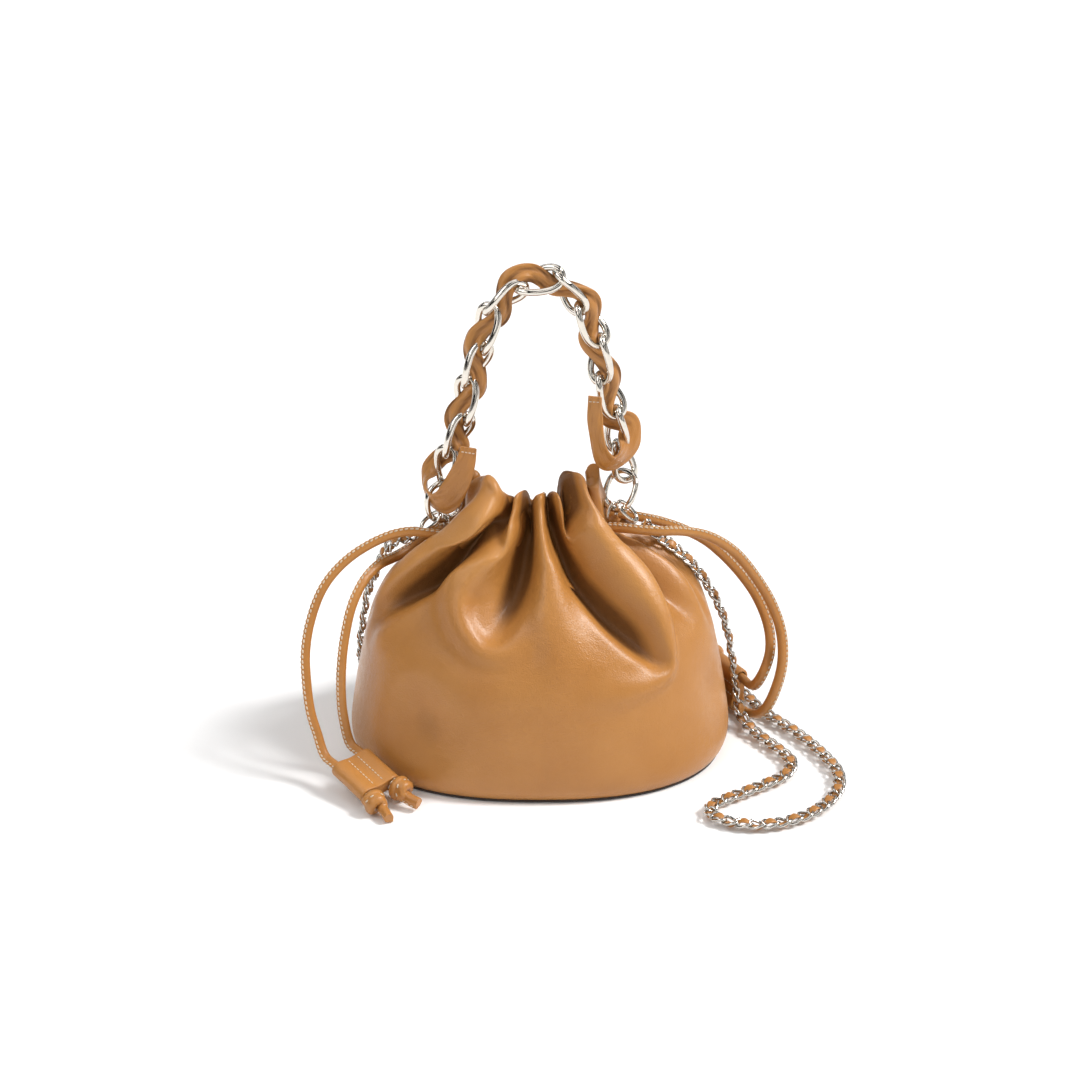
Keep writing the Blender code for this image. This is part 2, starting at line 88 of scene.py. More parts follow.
# Sliders: (centre, way from the bag to the knots, way from the front cord to the back one).
SLIDER = {
    "left": ((-98.0, -75.5, 13.0), (16, -18, -6), (14, 12.5, 2)),
    "right": ((112.5, 35.5, 15.4), (-0.46, 0.89, 0), (0.1, 0.05, 1)),
}
CORD_ROUTES = {
    "left_cord_front": [
        (-52, -9.5, 130.3), (-62, -10.5, 132.5), (-76, -12.5, 134.5), (-91, -17, 131.5),
        (-108, -24, 123), (-121, -31, 110), (-128.5, -37, 93), (-132, -43, 75),
        (-131.5, -49, 57), (-129.5, -54, 42), (-126, -57, 30)],
    "left_cord_back": [
        (-52, 10, 128.5), (-60, 13, 124.5), (-67.5, 14.5, 118.5), (-75, 11.5, 113.5),
        (-83, 3, 111.8), (-91.5, -9.5, 112.5), (-99.5, -21, 108), (-106, -31, 97),
        (-110, -38, 81), (-112, -43, 65), (-112.5, -46, 49), (-111.5, -47.5, 35)],
    "right_cord_front": [
        (45, -10.5, 136), (56, -12, 135.5), (68, -10.5, 134), (82, -4, 131),
        (97, 3, 124.5), (112, 9, 112), (125, 13, 94), (135, 14.5, 76), (141, 12, 58),
        (141.5, 7, 40), (136.5, 3.5, 22), (130.5, 4.5, 11)],
    "right_cord_back": [
        (46, 10.5, 135.5), (58, 14, 132), (70, 19, 127), (84, 24, 119.5), (99, 28, 109),
        (115, 30, 92), (127, 29, 75), (134, 23, 59), (135, 15, 46), (130.5, 8.5, 34)],
}
STRAP_ROUTE = [
    (-69.9, -0.3, 129.6), (-75.5, 3, 125), (-83.5, 9.5, 119.5), (-91, 17.5, 107), (-97, 27, 90),
    (-102, 35, 74), (-105, 39, 57), (-107.5, 43, 40), (-107.5, 48, 24), (-102, 57, 11),
    (-90, 70, 5.2), (-72, 84, 4.4), (-46, 97, 4.4), (-15, 104, 4.4), (20, 104, 4.4),
    (52, 98, 4.4), (80, 86, 4.4), (103, 69, 4.4), (117, 52, 4.4), (124.5, 38, 4.4),
    (130, 24, 4.4), (138, 10, 4.4), (150, -8, 4.4), (162, -32, 4.4), (169.5, -56, 4.4),
    (167, -78, 4.4), (155.5, -97, 4.4), (140, -109.5, 4.4), (123, -115, 4.4),
    (107, -113, 4.4), (95.5, -105, 4.4), (96, -94, 4.4), (107.5, -84.5, 4.4),
    (124, -72.5, 4.4), (139, -60, 4.4), (144, -44, 4.4), (137.5, -28, 4.4),
    (128, -12, 4.6), (120.5, 1.5, 7), (117, 9.5, 16), (114.8, 13, 30), (112.6, 14.5, 46),
    (109.5, 15, 61), (104.5, 14.5, 76), (97.5, 13, 90), (89, 11, 103), (79, 8.5, 114),
    (71, 5.5, 122), (64.5, 1.5, 129.5), (57.4, -3.8, 137.9),
]

# ---------------------------------------------------------------- small geometry helpers

def unit(v):
    v = np.asarray(v, float)
    return v / np.maximum(np.linalg.norm(v, axis=-1, keepdims=True), 1e-12)


def square_to(v, axis):
    """The direction of v at right angles to an axis."""
    return unit(v - axis * (v @ axis))


def signed_power(x, power):
    return np.sign(x) * np.abs(x) ** power


def full_turn(count):
    """Evenly spaced angles round a circle."""
    return np.linspace(0, 2 * math.pi, count, endpoint=False)


def repeated(v, line):
    """The same direction for every point of a line."""
    return np.repeat(v[None], len(line), axis=0)


def smooth_step(x):
    x = np.clip(x, 0, 1)
    return x * x * (3 - 2 * x)


def smooth_table(nodes, fine):
    """Rows of a table between its entries, on a Catmull-Rom curve."""
    ends = np.vstack([2 * nodes[0] - nodes[1], nodes, 2 * nodes[-1] - nodes[-2]])
    i = np.minimum(fine.astype(int), len(nodes) - 2)
    t = (fine - i)[:, None]
    a, b, c, d = (ends[i + k] for k in range(4))
    return 0.5 * (2 * b + (c - a) * t + (2 * a - 5 * b + 4 * c - d) * t ** 2
                  + (3 * b - a - 3 * c + d) * t ** 3)


def dense(rows, times=40):
    """A table with this many times as many rows, on a smooth curve, as its columns."""
    rows = np.array(rows, float)
    return smooth_table(rows, np.linspace(0, len(rows) - 1, times * len(rows))).T


def run_of(line):
    """The distance travelled along a line, at each of its points."""
    return np.concatenate([[0], np.cumsum(np.linalg.norm(np.diff(line, axis=0), axis=1))])


def at_run(line, run, stops):
    return np.stack([np.interp(stops, run, line[:, k]) for k in range(line.shape[1])], axis=-1)


def even_steps(line, step):
    run = run_of(line)
    return at_run(line, run, np.linspace(0, run[-1], max(3, round(run[-1] / step) + 1)))


def smooth_route(route, step):
    """Points at equal steps along a smooth curve through the route."""
    points = np.array(route, float)
    fine = smooth_table(points, np.arange(24 * (len(points) - 1)) / 24)
    return even_steps(np.vstack([fine, points[-1:]]), step)


def frames_along(line, start_normal=(0, 0, 1), normals=None):
    """Tangent, normal and side at each point: carried along without twist, or from given normals."""
    t = unit(np.gradient(line, axis=0))
    if normals is not None:
        n = unit(normals - t * (normals * t).sum(1)[:, None])
        return t, n, np.cross(t, n)
    n = np.zeros_like(t)
    n[0] = square_to(np.array(start_normal, float), t[0])
    for i in range(1, len(t)):
        n[i] = square_to(n[i - 1], t[i])
    return t, n, np.cross(t, n)


def ring_faces(rings, count, closed=False):
    faces = []
    for i in range(rings if closed else rings - 1):
        here, there = i * count, (i + 1) % rings * count
        faces += [(here + j, here + (j + 1) % count, there + (j + 1) % count, there + j)
                  for j in range(count)]
    return faces


def end_caps(rings, count):
    """The faces that close a tube at its first and last ring."""
    return [tuple(range(count))[::-1], tuple(range((rings - 1) * count, rings * count))]


def sweep(line, outline, normals=None, start_normal=(0, 0, 1)):
    """Carries an outline, given per point as (u along the side, v along the normal), down a line."""
    _, n, b = frames_along(line, start_normal, normals)
    shapes = np.asarray(outline, float)
    if shapes.ndim == 2:
        shapes = np.repeat(shapes[None], len(line), axis=0)
    points = line[:, None] + b[:, None] * shapes[..., :1] + n[:, None] * shapes[..., 1:]
    count = shapes.shape[1]
    return points.reshape(-1, 3), ring_faces(len(line), count) + end_caps(len(line), count)


def circle(radius, count):
    a = full_turn(count)
    return np.stack([radius * np.cos(a), radius * np.sin(a)], axis=1)


def merged(parts):
    """One (points, faces) from several."""
    points, faces, base = [], [], 0
    for p, f in parts:
        points.append(p)
        faces += [tuple(i + base for i in face) for face in f]
        base += len(p)
    return np.concatenate(points), faces


def mesh_object(name, points, faces, *mats, sharp=None, crest=None):
    """A piece from points in mm, its faces turned outward; crest is a value per point for its material."""
    mesh = bpy.data.meshes.new(name)
    mesh.from_pydata((np.asarray(points) * MM).tolist(), [], faces)
    for mat in mats:
        mesh.materials.append(mat)
    if crest is not None:
        mesh.attributes.new("crest", "FLOAT", "POINT").data.foreach_set("value", crest.astype(np.float32))
    obj = bpy.data.objects.new(name, mesh)
    bpy.context.scene.collection.objects.link(obj)
    bm = bmesh.new()
    bm.from_mesh(mesh)
    bmesh.ops.recalc_face_normals(bm, faces=bm.faces)
    bm.to_mesh(mesh)
    bm.free()
    mesh.shade_smooth()
    if sharp:
        mesh.set_sharp_from_angle(angle=math.radians(sharp))
    return obj


def settle(obj, body, slot, *nodes):
    """Puts a finished piece on its body and hides the CAD nodes that it stands for; the slot is not used."""
    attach(obj, body)
    if nodes:
        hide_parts(*nodes)


def shaped_by(obj, kind, **settings):
    """Runs one modifier on an object and keeps its result as the mesh."""
    modifier = obj.modifiers.new(kind.lower(), kind)
    for key, value in settings.items():
        setattr(modifier, key, value)
    graph = bpy.context.evaluated_depsgraph_get()
    mesh = bpy.data.meshes.new_from_object(obj.evaluated_get(graph))
    old = obj.data
    obj.modifiers.clear()
    obj.data = mesh
    bpy.data.meshes.remove(old)


# ---------------------------------------------------------------- materials

class Net:
    """The node tree of a material or world, with short ways to add to it."""

    def __init__(self, owner):
        owner.use_nodes = True
        self.nodes, self.links = owner.node_tree.nodes, owner.node_tree.links

    def feed(self, place, value):
        if isinstance(value, bpy.types.NodeSocket):
            self.links.new(value, place)
        else:
            place.default_value = value

    def add(self, kind, *values, **settings):
        """A new node with these settings, its first inputs linked or set to the values."""
        node = self.nodes.new(kind)
        for key, value in settings.items():
            setattr(node, key, value)
        for place, value in zip(node.inputs, values):
            self.feed(place, value)
        return node

    def noise(self, coords, scale, detail=2.0):
        node = self.add("ShaderNodeTexNoise", coords)
        node.inputs["Scale"].default_value = scale
        node.inputs["Detail"].default_value = detail
        return node.outputs["Fac"]

    def remap(self, value, low, high, out_low, out_high):
        return self.add("ShaderNodeMapRange", value, low, high, out_low, out_high).outputs["Result"]

    def math(self, operation, first, second):
        return self.add("ShaderNodeMath", first, second, operation=operation).outputs[0]

    def mix(self, factor, first, second):
        node = self.add("ShaderNodeMix", data_type="RGBA")
        for place, value in ((0, factor), (6, first), (7, second)):
            self.feed(node.inputs[place], value)
        return node.outputs[2]

    def bump(self, shader, *layers):
        """Bump from (height, distance in m, strength) layers, each on the one before."""
        for height, distance, strength in layers:
            node = self.add("ShaderNodeBump")
            node.inputs["Distance"].default_value = distance
            node.inputs["Strength"].default_value = strength
            self.links.new(height, node.inputs["Height"])
            if shader.inputs["Normal"].is_linked:
                self.links.new(shader.inputs["Normal"].links[0].from_socket, node.inputs["Normal"])
            self.links.new(node.outputs["Normal"], shader.inputs["Normal"])


def new_material(name):
    """A material, its net, its shader and its object coordinates."""
    mat = bpy.data.materials.new(name)
    net = Net(mat)
    return mat, net, net.nodes["Principled BSDF"], net.add("ShaderNodeTexCoord").outputs["Object"]


# Painted shade in the folds: how much of the dark dye's red, green and blue is left deep in a fold.
FOLD_SHADE = (0.36, 0.32, 0.2)


def leather_material(name, colour, dark, pale, roughness=0.4, grain=1.0, folds=False):
    """Smooth drum-dyed leather: mottled dye, soft wrinkles, fine pebble and pores; with folds, painted
    highlight on crests and painted shade in valleys.
    """
    mat, net, shader, coords = new_material(name)
    dye, cloud = net.noise(coords, 34, 3), net.noise(coords, 9, 1)
    wrinkle, pores = net.noise(coords, 260, 4), net.noise(coords, 2300, 1)
    pebble = net.add("ShaderNodeTexVoronoi", coords)
    pebble.inputs["Scale"].default_value = 1150
    pebble.inputs["Detail"].default_value = 2
    tone = net.mix(net.remap(dye, 0.35, 0.7, 0, 1), (*colour, 1), (*dark, 1))
    tone = net.mix(net.remap(cloud, 0.35, 0.65, 0, 0.15), tone, (*pale, 1))
    rough = net.remap(wrinkle, 0.3, 0.7, roughness - 0.05, roughness + 0.07)
    if folds:
        # painted highlight and painted shade: crests are painted paler and valleys darker; valleys are also
        # rougher
        crest = net.add("ShaderNodeAttribute", attribute_name="crest").outputs["Fac"]
        deep = tuple(d * s for d, s in zip(dark, FOLD_SHADE))
        tone = net.mix(net.remap(crest, 0.2, 1.4, 0, 0.75), tone, (*pale, 1))
        tone = net.mix(net.remap(crest, -0.25, -1.05, 0, 0.9), tone, (*deep, 1))
        rough = net.math("ADD", rough, net.remap(crest, -0.2, -1.1, 0, 0.3))
    net.feed(shader.inputs["Base Color"], tone)
    net.feed(shader.inputs["Roughness"], rough)
    for key, value in (("Specular IOR Level", 0.4), ("Coat Weight", 0.14), ("Coat Roughness", 0.24)):
        shader.inputs[key].default_value = value
    net.bump(shader, (cloud, 0.0014 * grain, 0.3), (wrinkle, 0.0005 * grain, 0.5),
             (pebble.outputs["Distance"], 0.00022 * grain, 0.55), (pores, 0.00006 * grain, 0.4))
    return mat


def metal_material(name, colour, roughness):
    """Plated metal, a little wavy, its polish worn in places."""
    mat, net, shader, coords = new_material(name)
    wear, wave = net.noise(coords, 420, 4), net.noise(coords, 120, 1)
    worn = tuple(0.82 * c for c in colour)
    net.feed(shader.inputs["Base Color"],
             net.mix(net.remap(wear, 0.4, 0.75, 0, 0.35), (*colour, 1), (*worn, 1)))
    net.feed(shader.inputs["Roughness"], net.remap(wear, 0.3, 0.7, roughness, roughness + 0.09))
    shader.inputs["Metallic"].default_value = 1
    net.bump(shader, (wave, 0.0004, 0.12))
    return mat


def cloth_material(name, colour, dark):
    """A fine twill: two crossed wave bands."""
    mat, net, shader, coords = new_material(name)
    bands = []
    for axis in "XZ":
        wave = net.add("ShaderNodeTexWave", coords, bands_direction=axis)
        wave.inputs["Scale"].default_value = 520
        wave.inputs["Detail"].default_value = 0
        bands.append(wave.outputs["Fac"])
    weave = net.math("MULTIPLY", *bands)
    tone = net.mix(net.remap(net.noise(coords, 90, 3), 0.3, 0.7, 0, 0.6), (*colour, 1), (*dark, 1))
    between = tuple(0.7 * c for c in dark)
    net.feed(shader.inputs["Base Color"], net.mix(weave, (*between, 1), tone))
    shader.inputs["Roughness"].default_value = 0.85
    shader.inputs["Sheen Weight"].default_value = 0.25
    net.bump(shader, (weave, 0.0002, 0.5))
    return mat


TAN = (0.435, 0.187, 0.043)
TAN_DARK = (0.39, 0.158, 0.033)
TAN_PALE = (0.57, 0.268, 0.077)
LEATHER_BODY = leather_material("bag leather", TAN, TAN_DARK, TAN_PALE, 0.33, folds=True)
LEATHER_SMALL = leather_material("strap leather", TAN, TAN_DARK, TAN_PALE, 0.34, 0.8)
LEATHER_FOLDED = leather_material("handle leather", TAN, TAN_DARK, TAN_PALE, 0.34, 0.9, folds=True)
LEATHER_EDGE = leather_material("cut leather edge", (0.2, 0.085, 0.03), (0.13, 0.05, 0.02),
                                (0.28, 0.13, 0.05), 0.55, 0.5)
# the base leather is painted near-black: its rim under the body is a painted contact shadow
BASE_PAINTED_SHADOW = leather_material("base leather in painted contact shadow", (0.035, 0.022, 0.015), (0.022, 0.014, 0.01),
                        (0.06, 0.04, 0.028), 0.5)
STEEL = metal_material("polished metal", (0.72, 0.67, 0.6), 0.07)
CHAIN_STEEL = metal_material("woven chain steel", (0.56, 0.53, 0.485), 0.09)
LINING_CLOTH = cloth_material("lining twill", (0.40, 0.25, 0.13), (0.27, 0.16, 0.08))
BOARD = leather_material("stiffener board", (0.16, 0.12, 0.09), (0.12, 0.09, 0.065),
                         (0.2, 0.16, 0.12), 0.8)
THREAD = cloth_material("cream thread", (0.86, 0.76, 0.60), (0.76, 0.64, 0.47))


# ---------------------------------------------------------------- camera

LENS, CAMERA_RISE, CAMERA_AWAY, AIM_HEIGHT = 85, 24, 1.4568, 0.124


def build_camera():
    """The photograph's view: 24 degrees above the horizon, a short telephoto lens."""
    camera = bpy.data.objects.new("camera", bpy.data.cameras.new("camera"))
    bpy.context.scene.collection.objects.link(camera)
    camera.data.lens, camera.data.sensor_width = LENS, 36
    up = math.radians(CAMERA_RISE)
    back = Vector((0, -math.cos(up), math.sin(up)))
    camera.location = Vector((0, 0, AIM_HEIGHT)) + back * CAMERA_AWAY
    camera.rotation_euler = (math.radians(90) - up, 0, 0)
    bpy.context.scene.camera = camera


build_camera()


# ---------------------------------------------------------------- drawcords, sliders and knots

CORD_BODY, CORD_FIN, FIN_HALF = 2.55, 3.75, 0.55
CORD_STEP, CORD_HIDDEN = 1.6, 8
STITCH_PITCH, STITCH_LENGTH, STITCH_R = 2.9, 2.2, 0.5
KNOT_RADIUS, KNOT_SCALE = 4.3, 1.1
SLIDER_DIP, SLIDER_BORE = 0.65, 3.25
SLIDER_ROWS = [(-14, 0.93), (-13.7, 0.975), (-13, 1), (-9, 1), (-4.5, 0.995), (0, 0.99), (4.5, 0.995),
               (9, 1), (13, 1), (13.7, 0.975), (14, 0.93)]


def section(z):
    """Half width, half depth and shift of the CAD's plain body at a height."""
    table = np.array(BODY, float).T
    return tuple(np.interp(z, table[0], row) for row in table[1:])


def exit_x(side, z):
    """Where a drawcord at a height comes out of the neck."""
    a, b, shift = section(z)
    return shift + side * (a * math.sqrt(1 - (CORD_EXIT_Y / b) ** 2) - LEATHER)


def slider_frame(label):
    centre, axis, across = (np.array(v, float) for v in SLIDER[label])
    axis = unit(axis)
    across = square_to(across, axis)
    return centre, axis, across, np.cross(axis, across)


def channel_ends(label, channel):
    """Where a drawcord enters its sleeve of the slider and leaves it."""
    centre, axis, across, _ = slider_frame(label)
    middle = centre + across * (SLIDER_PITCH / 2 * channel)
    return middle - axis * SLIDER_LENGTH / 2, middle + axis * SLIDER_LENGTH / 2


def cord_outline(scale=1.0, count=20):
    """A round cord whose wrapped leather closes in a stitched fin along one side."""
    a = full_turn(count)
    u, v = CORD_BODY * np.sin(a), CORD_BODY * np.cos(a)
    fin = np.exp(-(np.minimum(a, 2 * math.pi - a) / 0.3) ** 2)
    v = v + fin * (CORD_FIN - CORD_BODY)
    u = np.where(fin > 0.3, np.clip(u, -FIN_HALF - 0.25, FIN_HALF + 0.25), u)
    return np.stack([u, v], axis=1) * scale


def capsule(centre, along, radius, length, sides=6):
    """A stitch: a short thread with tucked ends."""
    rows = np.array([-0.5, -0.36, 0, 0.36, 0.5]) * length
    sizes = np.array([0.25, 0.9, 1.0, 0.9, 0.25]) * radius
    shape = np.stack([circle(s, sides) for s in sizes])
    helper = (0.3, 0.5, 0.81) if abs(along[2]) < 0.9 else (1, 0, 0)
    return sweep(centre + np.outer(rows, along), shape, start_normal=helper)


def stitches_along(line, normals, lift, pitch=STITCH_PITCH, side=0.0, length=STITCH_LENGTH, lean=0.0,
                   radius=STITCH_R):
    """Thread stitches at even steps on a line, raised along its normals and set off to a side."""
    run = run_of(line)
    stops = np.arange(pitch * 0.6, run[-1] - pitch * 0.4, pitch)
    at, t, n, b = (at_run(field, run, stops) for field in (line, *frames_along(line, normals=normals)))
    t = unit(t + lean * b)
    return [capsule(at[i] + n[i] * lift + b[i] * side, t[i], radius, length) for i in range(len(stops))]


def stitched_cord(name, line, start_normal, scale=1.0):
    """(tube, stitches) of a drawcord on a line."""
    _, n, _ = frames_along(line, start_normal)
    tube = mesh_object(name, *sweep(line, cord_outline(scale), normals=n), LEATHER_SMALL, sharp=50)
    threads = []
    for way in (1, -1):
        threads += stitches_along(line, n, (CORD_FIN - 0.75) * scale, side=FIN_HALF * scale * way,
                                  lean=0.25 * way)
    return tube, mesh_object(name + "_stitching", *merged(threads), THREAD)


def knot_line(label, channel):
    """An overhand knot pulled tight: out, round itself and back under, then a short tail."""
    _, leave = channel_ends(label, channel)
    _, axis, across, normal = slider_frame(label)
    # (way along the cord, distance from it, turns round it)
    local = [(0, 0, 0), (1.4, 1.4, 0)]
    local += [(3.0 + 5.6 * k, KNOT_RADIUS, 0.05 + 1.22 * k) for k in np.linspace(0, 1, 13)]
    local += [(10.0, 2.4, 1.42), (12, 0.5, 1.5), (15, 0, 0), (20.5, 0, 0)]
    points = []
    for way, radius, turns in local:
        a = 2 * math.pi * turns
        points.append(leave + axis * (way + 2 * GAP) + across * (radius * math.cos(a) * channel)
                      + normal * (radius * math.sin(a)))
    points[-1] = points[-1] + across * channel * 1.6 + np.array([0, 0, 0.35])
    return smooth_route(points, 0.7)


def slider_level(u):
    """Half the slider's thickness at a distance from its middle: it dips between the cords."""
    return SLIDER_THICK / 2 - SLIDER_DIP * (1 + math.cos(2 * math.pi * u / SLIDER_PITCH))


def slider_outline():
    half, radius = SLIDER_PITCH / 2, SLIDER_THICK / 2
    outline = []
    for side in (1, -1):
        outline += [(side * (half + radius * math.cos(t)), side * radius * math.sin(t))
                    for t in np.linspace(-math.pi / 2, math.pi / 2, 13)]
        outline += [(u, side * slider_level(u)) for u in np.linspace(side * half, -side * half, 9)[1:-1]]
    return np.array(outline)


def slider_block(label):
    """A leather strap wrapped round both cords."""
    centre, axis, across, normal = slider_frame(label)
    rows, grow = np.array(SLIDER_ROWS).T
    shapes = np.stack([slider_outline() * g for g in grow])
    line = centre + np.outer(rows, axis)
    points = line[:, None] + across * shapes[..., :1] + normal * shapes[..., 1:]
    count = shapes.shape[1]
    block = mesh_object(f"slider_{label}_leather", points.reshape(-1, 3),
                        ring_faces(len(rows), count) + end_caps(len(rows), count),
                        LEATHER_SMALL, LEATHER_EDGE, sharp=40)
    for channel in (-1, 1):
        entry, leave = channel_ends(label, channel)
        bore = mesh_object("bore", *sweep(np.array([entry - axis * 3, leave + axis * 3]),
                                          circle(SLIDER_BORE, 24), start_normal=normal), LEATHER_EDGE)
        shaped_by(block, "BOOLEAN", object=bore, operation="DIFFERENCE", solver="EXACT")
        bpy.data.objects.remove(bore)
    shaped_by(block, "BEVEL", width=0.35 * MM, segments=2, limit_method="ANGLE",
              angle_limit=math.radians(50))
    return block


def slider_stitching(label):
    """Two rows of stitches between the cords, on both faces."""
    centre, axis, across, normal = slider_frame(label)
    threads = []
    for face in (1, -1):
        for u in (-3.2, 3.2):
            row = centre + np.outer(np.linspace(-12.5, 12.5, 20), axis) + across * u
            threads += stitches_along(row, repeated(normal * face, row), slider_level(u) - 0.05,
                                      pitch=2.6, length=1.9, radius=0.34)
    return mesh_object(f"slider_{label}_stitching", *merged(threads), THREAD)


def cord_line(label, side, place, channel):
    """A drawcord's line from inside the neck to its knot, and the point where it leaves the neck."""
    y, z = channel * CORD_EXIT_Y, CORD_Z[label]
    mouth = exit_x(side, z)
    entry, leave = channel_ends(label, channel)
    axis = unit(leave - entry)
    route = [(mouth + side * RUN_OUT, y, z), *CORD_ROUTES[f"{label}_cord_{place}"],
             entry - axis * LEAD, entry, leave, leave + axis * GAP]
    leaves = (mouth + side * GAP, y, z)
    line = np.vstack([[(mouth - side * CORD_HIDDEN, y, z), leaves], smooth_route(route, CORD_STEP)])
    return even_steps(line, CORD_STEP), leaves


def build_drawcord(label, side, place, channel):
    line, leaves = cord_line(label, side, place, channel)
    tube, threads = stitched_cord(f"{label}_cord_{place}_leather", line, (0.25 * side, -0.35, 1))
    knot, knot_threads = stitched_cord(f"{label}_knot_{place}_leather", knot_line(label, channel),
                                       slider_frame(label)[3], KNOT_SCALE)
    nodes = [f"{label}_cord_{place}"] + ([f"drawcord_{label}_channel"] if place == "front" else [])
    settle(tube, "bag", "tan_leather", *nodes)
    settle(threads, "bag", "tan_leather")
    settle(knot, "bag", "tan_leather", f"{label}_knot_{place}")
    settle(knot_threads, "bag", "tan_leather")


def build_drawcords():
    for label, side in (("left", -1), ("right", 1)):
        slider = [slider_block(label), slider_stitching(label)]
        settle(slider[0], f"slider_{label}", "tan_leather", f"slider_{label}")
        settle(slider[1], f"slider_{label}", "tan_leather")
        for place, channel in (("front", -1), ("back", 1)):
            build_drawcord(label, side, place, channel)


build_drawcords()


# ---------------------------------------------------------------- long strap

STRAP_PITCH, STRAP_HALF_LONG, STRAP_HALF_WIDE, STRAP_WIRE = 7.4, 4.75, 3.2, 1.8
STRAP_TWIST, LINK_POWER = 38, 2.35
WOVEN_WIDTH, WOVEN_THICK, WOVEN_WAVE = 4.6, 1.1, 2.0


def curb_link(centre, along, wide, out, half_long, half_wide, wire, twist, steps=16, sides=7):
    """One twisted oval of round wire, in the frame of (along, wide, out)."""
    a = 2 * math.pi * (np.arange(steps) + 0.5) / steps
    x = half_long * signed_power(np.cos(a), 2 / LINK_POWER)
    y = half_wide * signed_power(np.sin(a), 2 / LINK_POWER)
    turn = np.radians(twist) * x / half_long
    line = centre + np.stack([x, y * np.cos(turn), y * np.sin(turn)], axis=1) @ np.stack([along, wide, out])
    tangent = unit(np.roll(line, -1, axis=0) - np.roll(line, 1, axis=0))
    radial = unit(line - centre)
    n = unit(radial - tangent * (radial * tangent).sum(1)[:, None])
    b = np.cross(tangent, n)
    ring = circle(wire / 2, sides)
    points = line[:, None] + b[:, None] * ring[:, :1] + n[:, None] * ring[:, 1:]
    return points.reshape(-1, 3), ring_faces(steps, sides, closed=True)


def strap_normals(line):
    """Flat on the floor, and facing out from the bag where the strap hangs."""
    out = unit(line * LEVEL + np.array([0, -30, 0]))
    lying = smooth_step((26 - line[:, 2]) / 20)[:, None]
    return unit(out * (1 - lying) + np.array([0, 0, 1.0]) * lying)


def band_outline(width, thick, count=14):
    """A flat leather band with softly rolled edges."""
    c, s = np.cos(full_turn(count)), np.sin(full_turn(count))
    u = width / 2 * signed_power(c, 0.6)
    v = thick / 2 * signed_power(s, 0.6) * (1 + 0.35 * np.abs(c) ** 4)
    return np.stack([u, v], axis=-1)


def strap_links(line, t, n, run):
    links = []
    for s in np.arange(STRAP_PITCH * 0.5, run[-1] - STRAP_PITCH * 0.3, STRAP_PITCH):
        at, along, out = (at_run(field, run, [s])[0] for field in (line, t, n))
        along = unit(along)
        out = square_to(out, along)
        links.append(curb_link(at, along, np.cross(along, out), out, STRAP_HALF_LONG, STRAP_HALF_WIDE,
                               STRAP_WIRE, STRAP_TWIST))
    return mesh_object("strap_links", *merged(links), CHAIN_STEEL)


def strap_ribbon(line, n, run):
    """The ribbon passes over one link and under the next, and narrows where it dives."""
    fine = np.arange(STRAP_PITCH * 0.2, run[-1] - STRAP_PITCH * 0.2, 0.8)
    at, out = (at_run(field, run, fine) for field in (line, n))
    phase = math.pi * (fine / STRAP_PITCH - 0.5)
    woven = at + out * (WOVEN_WAVE * np.cos(phase))[:, None]
    outline = np.stack([band_outline(w, WOVEN_THICK, 10)
                        for w in WOVEN_WIDTH * (0.86 + 0.14 * np.cos(2 * phase))])
    return mesh_object("strap_ribbon", *sweep(woven, outline, normals=out), LEATHER_SMALL, sharp=60)


def build_strap():
    line = smooth_route(STRAP_ROUTE, 1.5)
    t, n, _ = frames_along(line, normals=strap_normals(line))
    run = run_of(line)
    chain, band = strap_links(line, t, n, run), strap_ribbon(line, n, run)
    settle(chain, "bag", "woven_chain", "strap_chain")
    settle(band, "bag", "tan_leather")


build_strap()


# ---------------------------------------------------------------- handle, rings and tabs

HANDLE_TWIST, ZIGZAG = 34, 2.4
RIBBON_SWING, RIBBON_WIDTH, RIBBON_THICK, TAIL_THICK = 4.4, 11.5, 4.2, 2.2
RIBBON_POINTS, RIBBON_STEP = 44, 0.9
DEPTH = np.array([0, 1.0, 0])
# The ribbon's free ends: (centre, way that the face looks, width).
TAIL_LEFT = [((-39.6, -14, 186.5), (0.15, -1, 0.25), 9), ((-41.5, -14.8, 178), (0.1, -1, 0.2), 11.5),
             ((-44.8, -15, 169), (0, -1, 0.1), 13.5), ((-49, -14.6, 160), (-0.1, -1, 0), 15),
             ((-53.4, -13, 153.5), (-0.3, -0.95, -0.2), 15.5), ((-58.6, -8.5, 150.5), (-0.8, -0.4, -0.5), 14),
             ((-63.6, -1.5, 152.5), (-1, 0.1, 0), 12.5), ((-65, 4.5, 159), (-0.9, -0.3, 0.1), 11.5),
             ((-61, 7.5, 166.5), (-0.6, -0.8, 0.2), 11), ((-55, 7.5, 173), (-0.4, -0.9, 0.2), 10.5)]
TAIL_RIGHT = [((49.5, 4.5, 194), (0.4, -0.9, 0), 13), ((50.2, 1.5, 186), (0.5, -0.85, 0), 15.5),
              ((47.5, -4, 179), (0.45, -0.8, -0.35), 16), ((42.2, -8.6, 175.5), (0.1, -0.85, -0.55), 14.5),
              ((37, -11.4, 177), (-0.35, -0.9, -0.4), 13), ((33.2, -12.6, 185), (-0.5, -0.85, -0.1), 11),
              ((31.2, -12.4, 195), (-0.5, -0.9, 0), 9.4), ((30.4, -11.4, 206), (-0.3, -1, 0.1), 8.4),
              ((30.4, -10.8, 215.5), (-0.2, -1, 0.1), 8)]


def lean_direction(along, way):
    """The wide direction of a link, leaned out of the handle's plane."""
    lean = math.radians(LINK_LEAN) * way
    return DEPTH * math.cos(lean) + unit(np.cross(along, DEPTH)) * math.sin(lean)


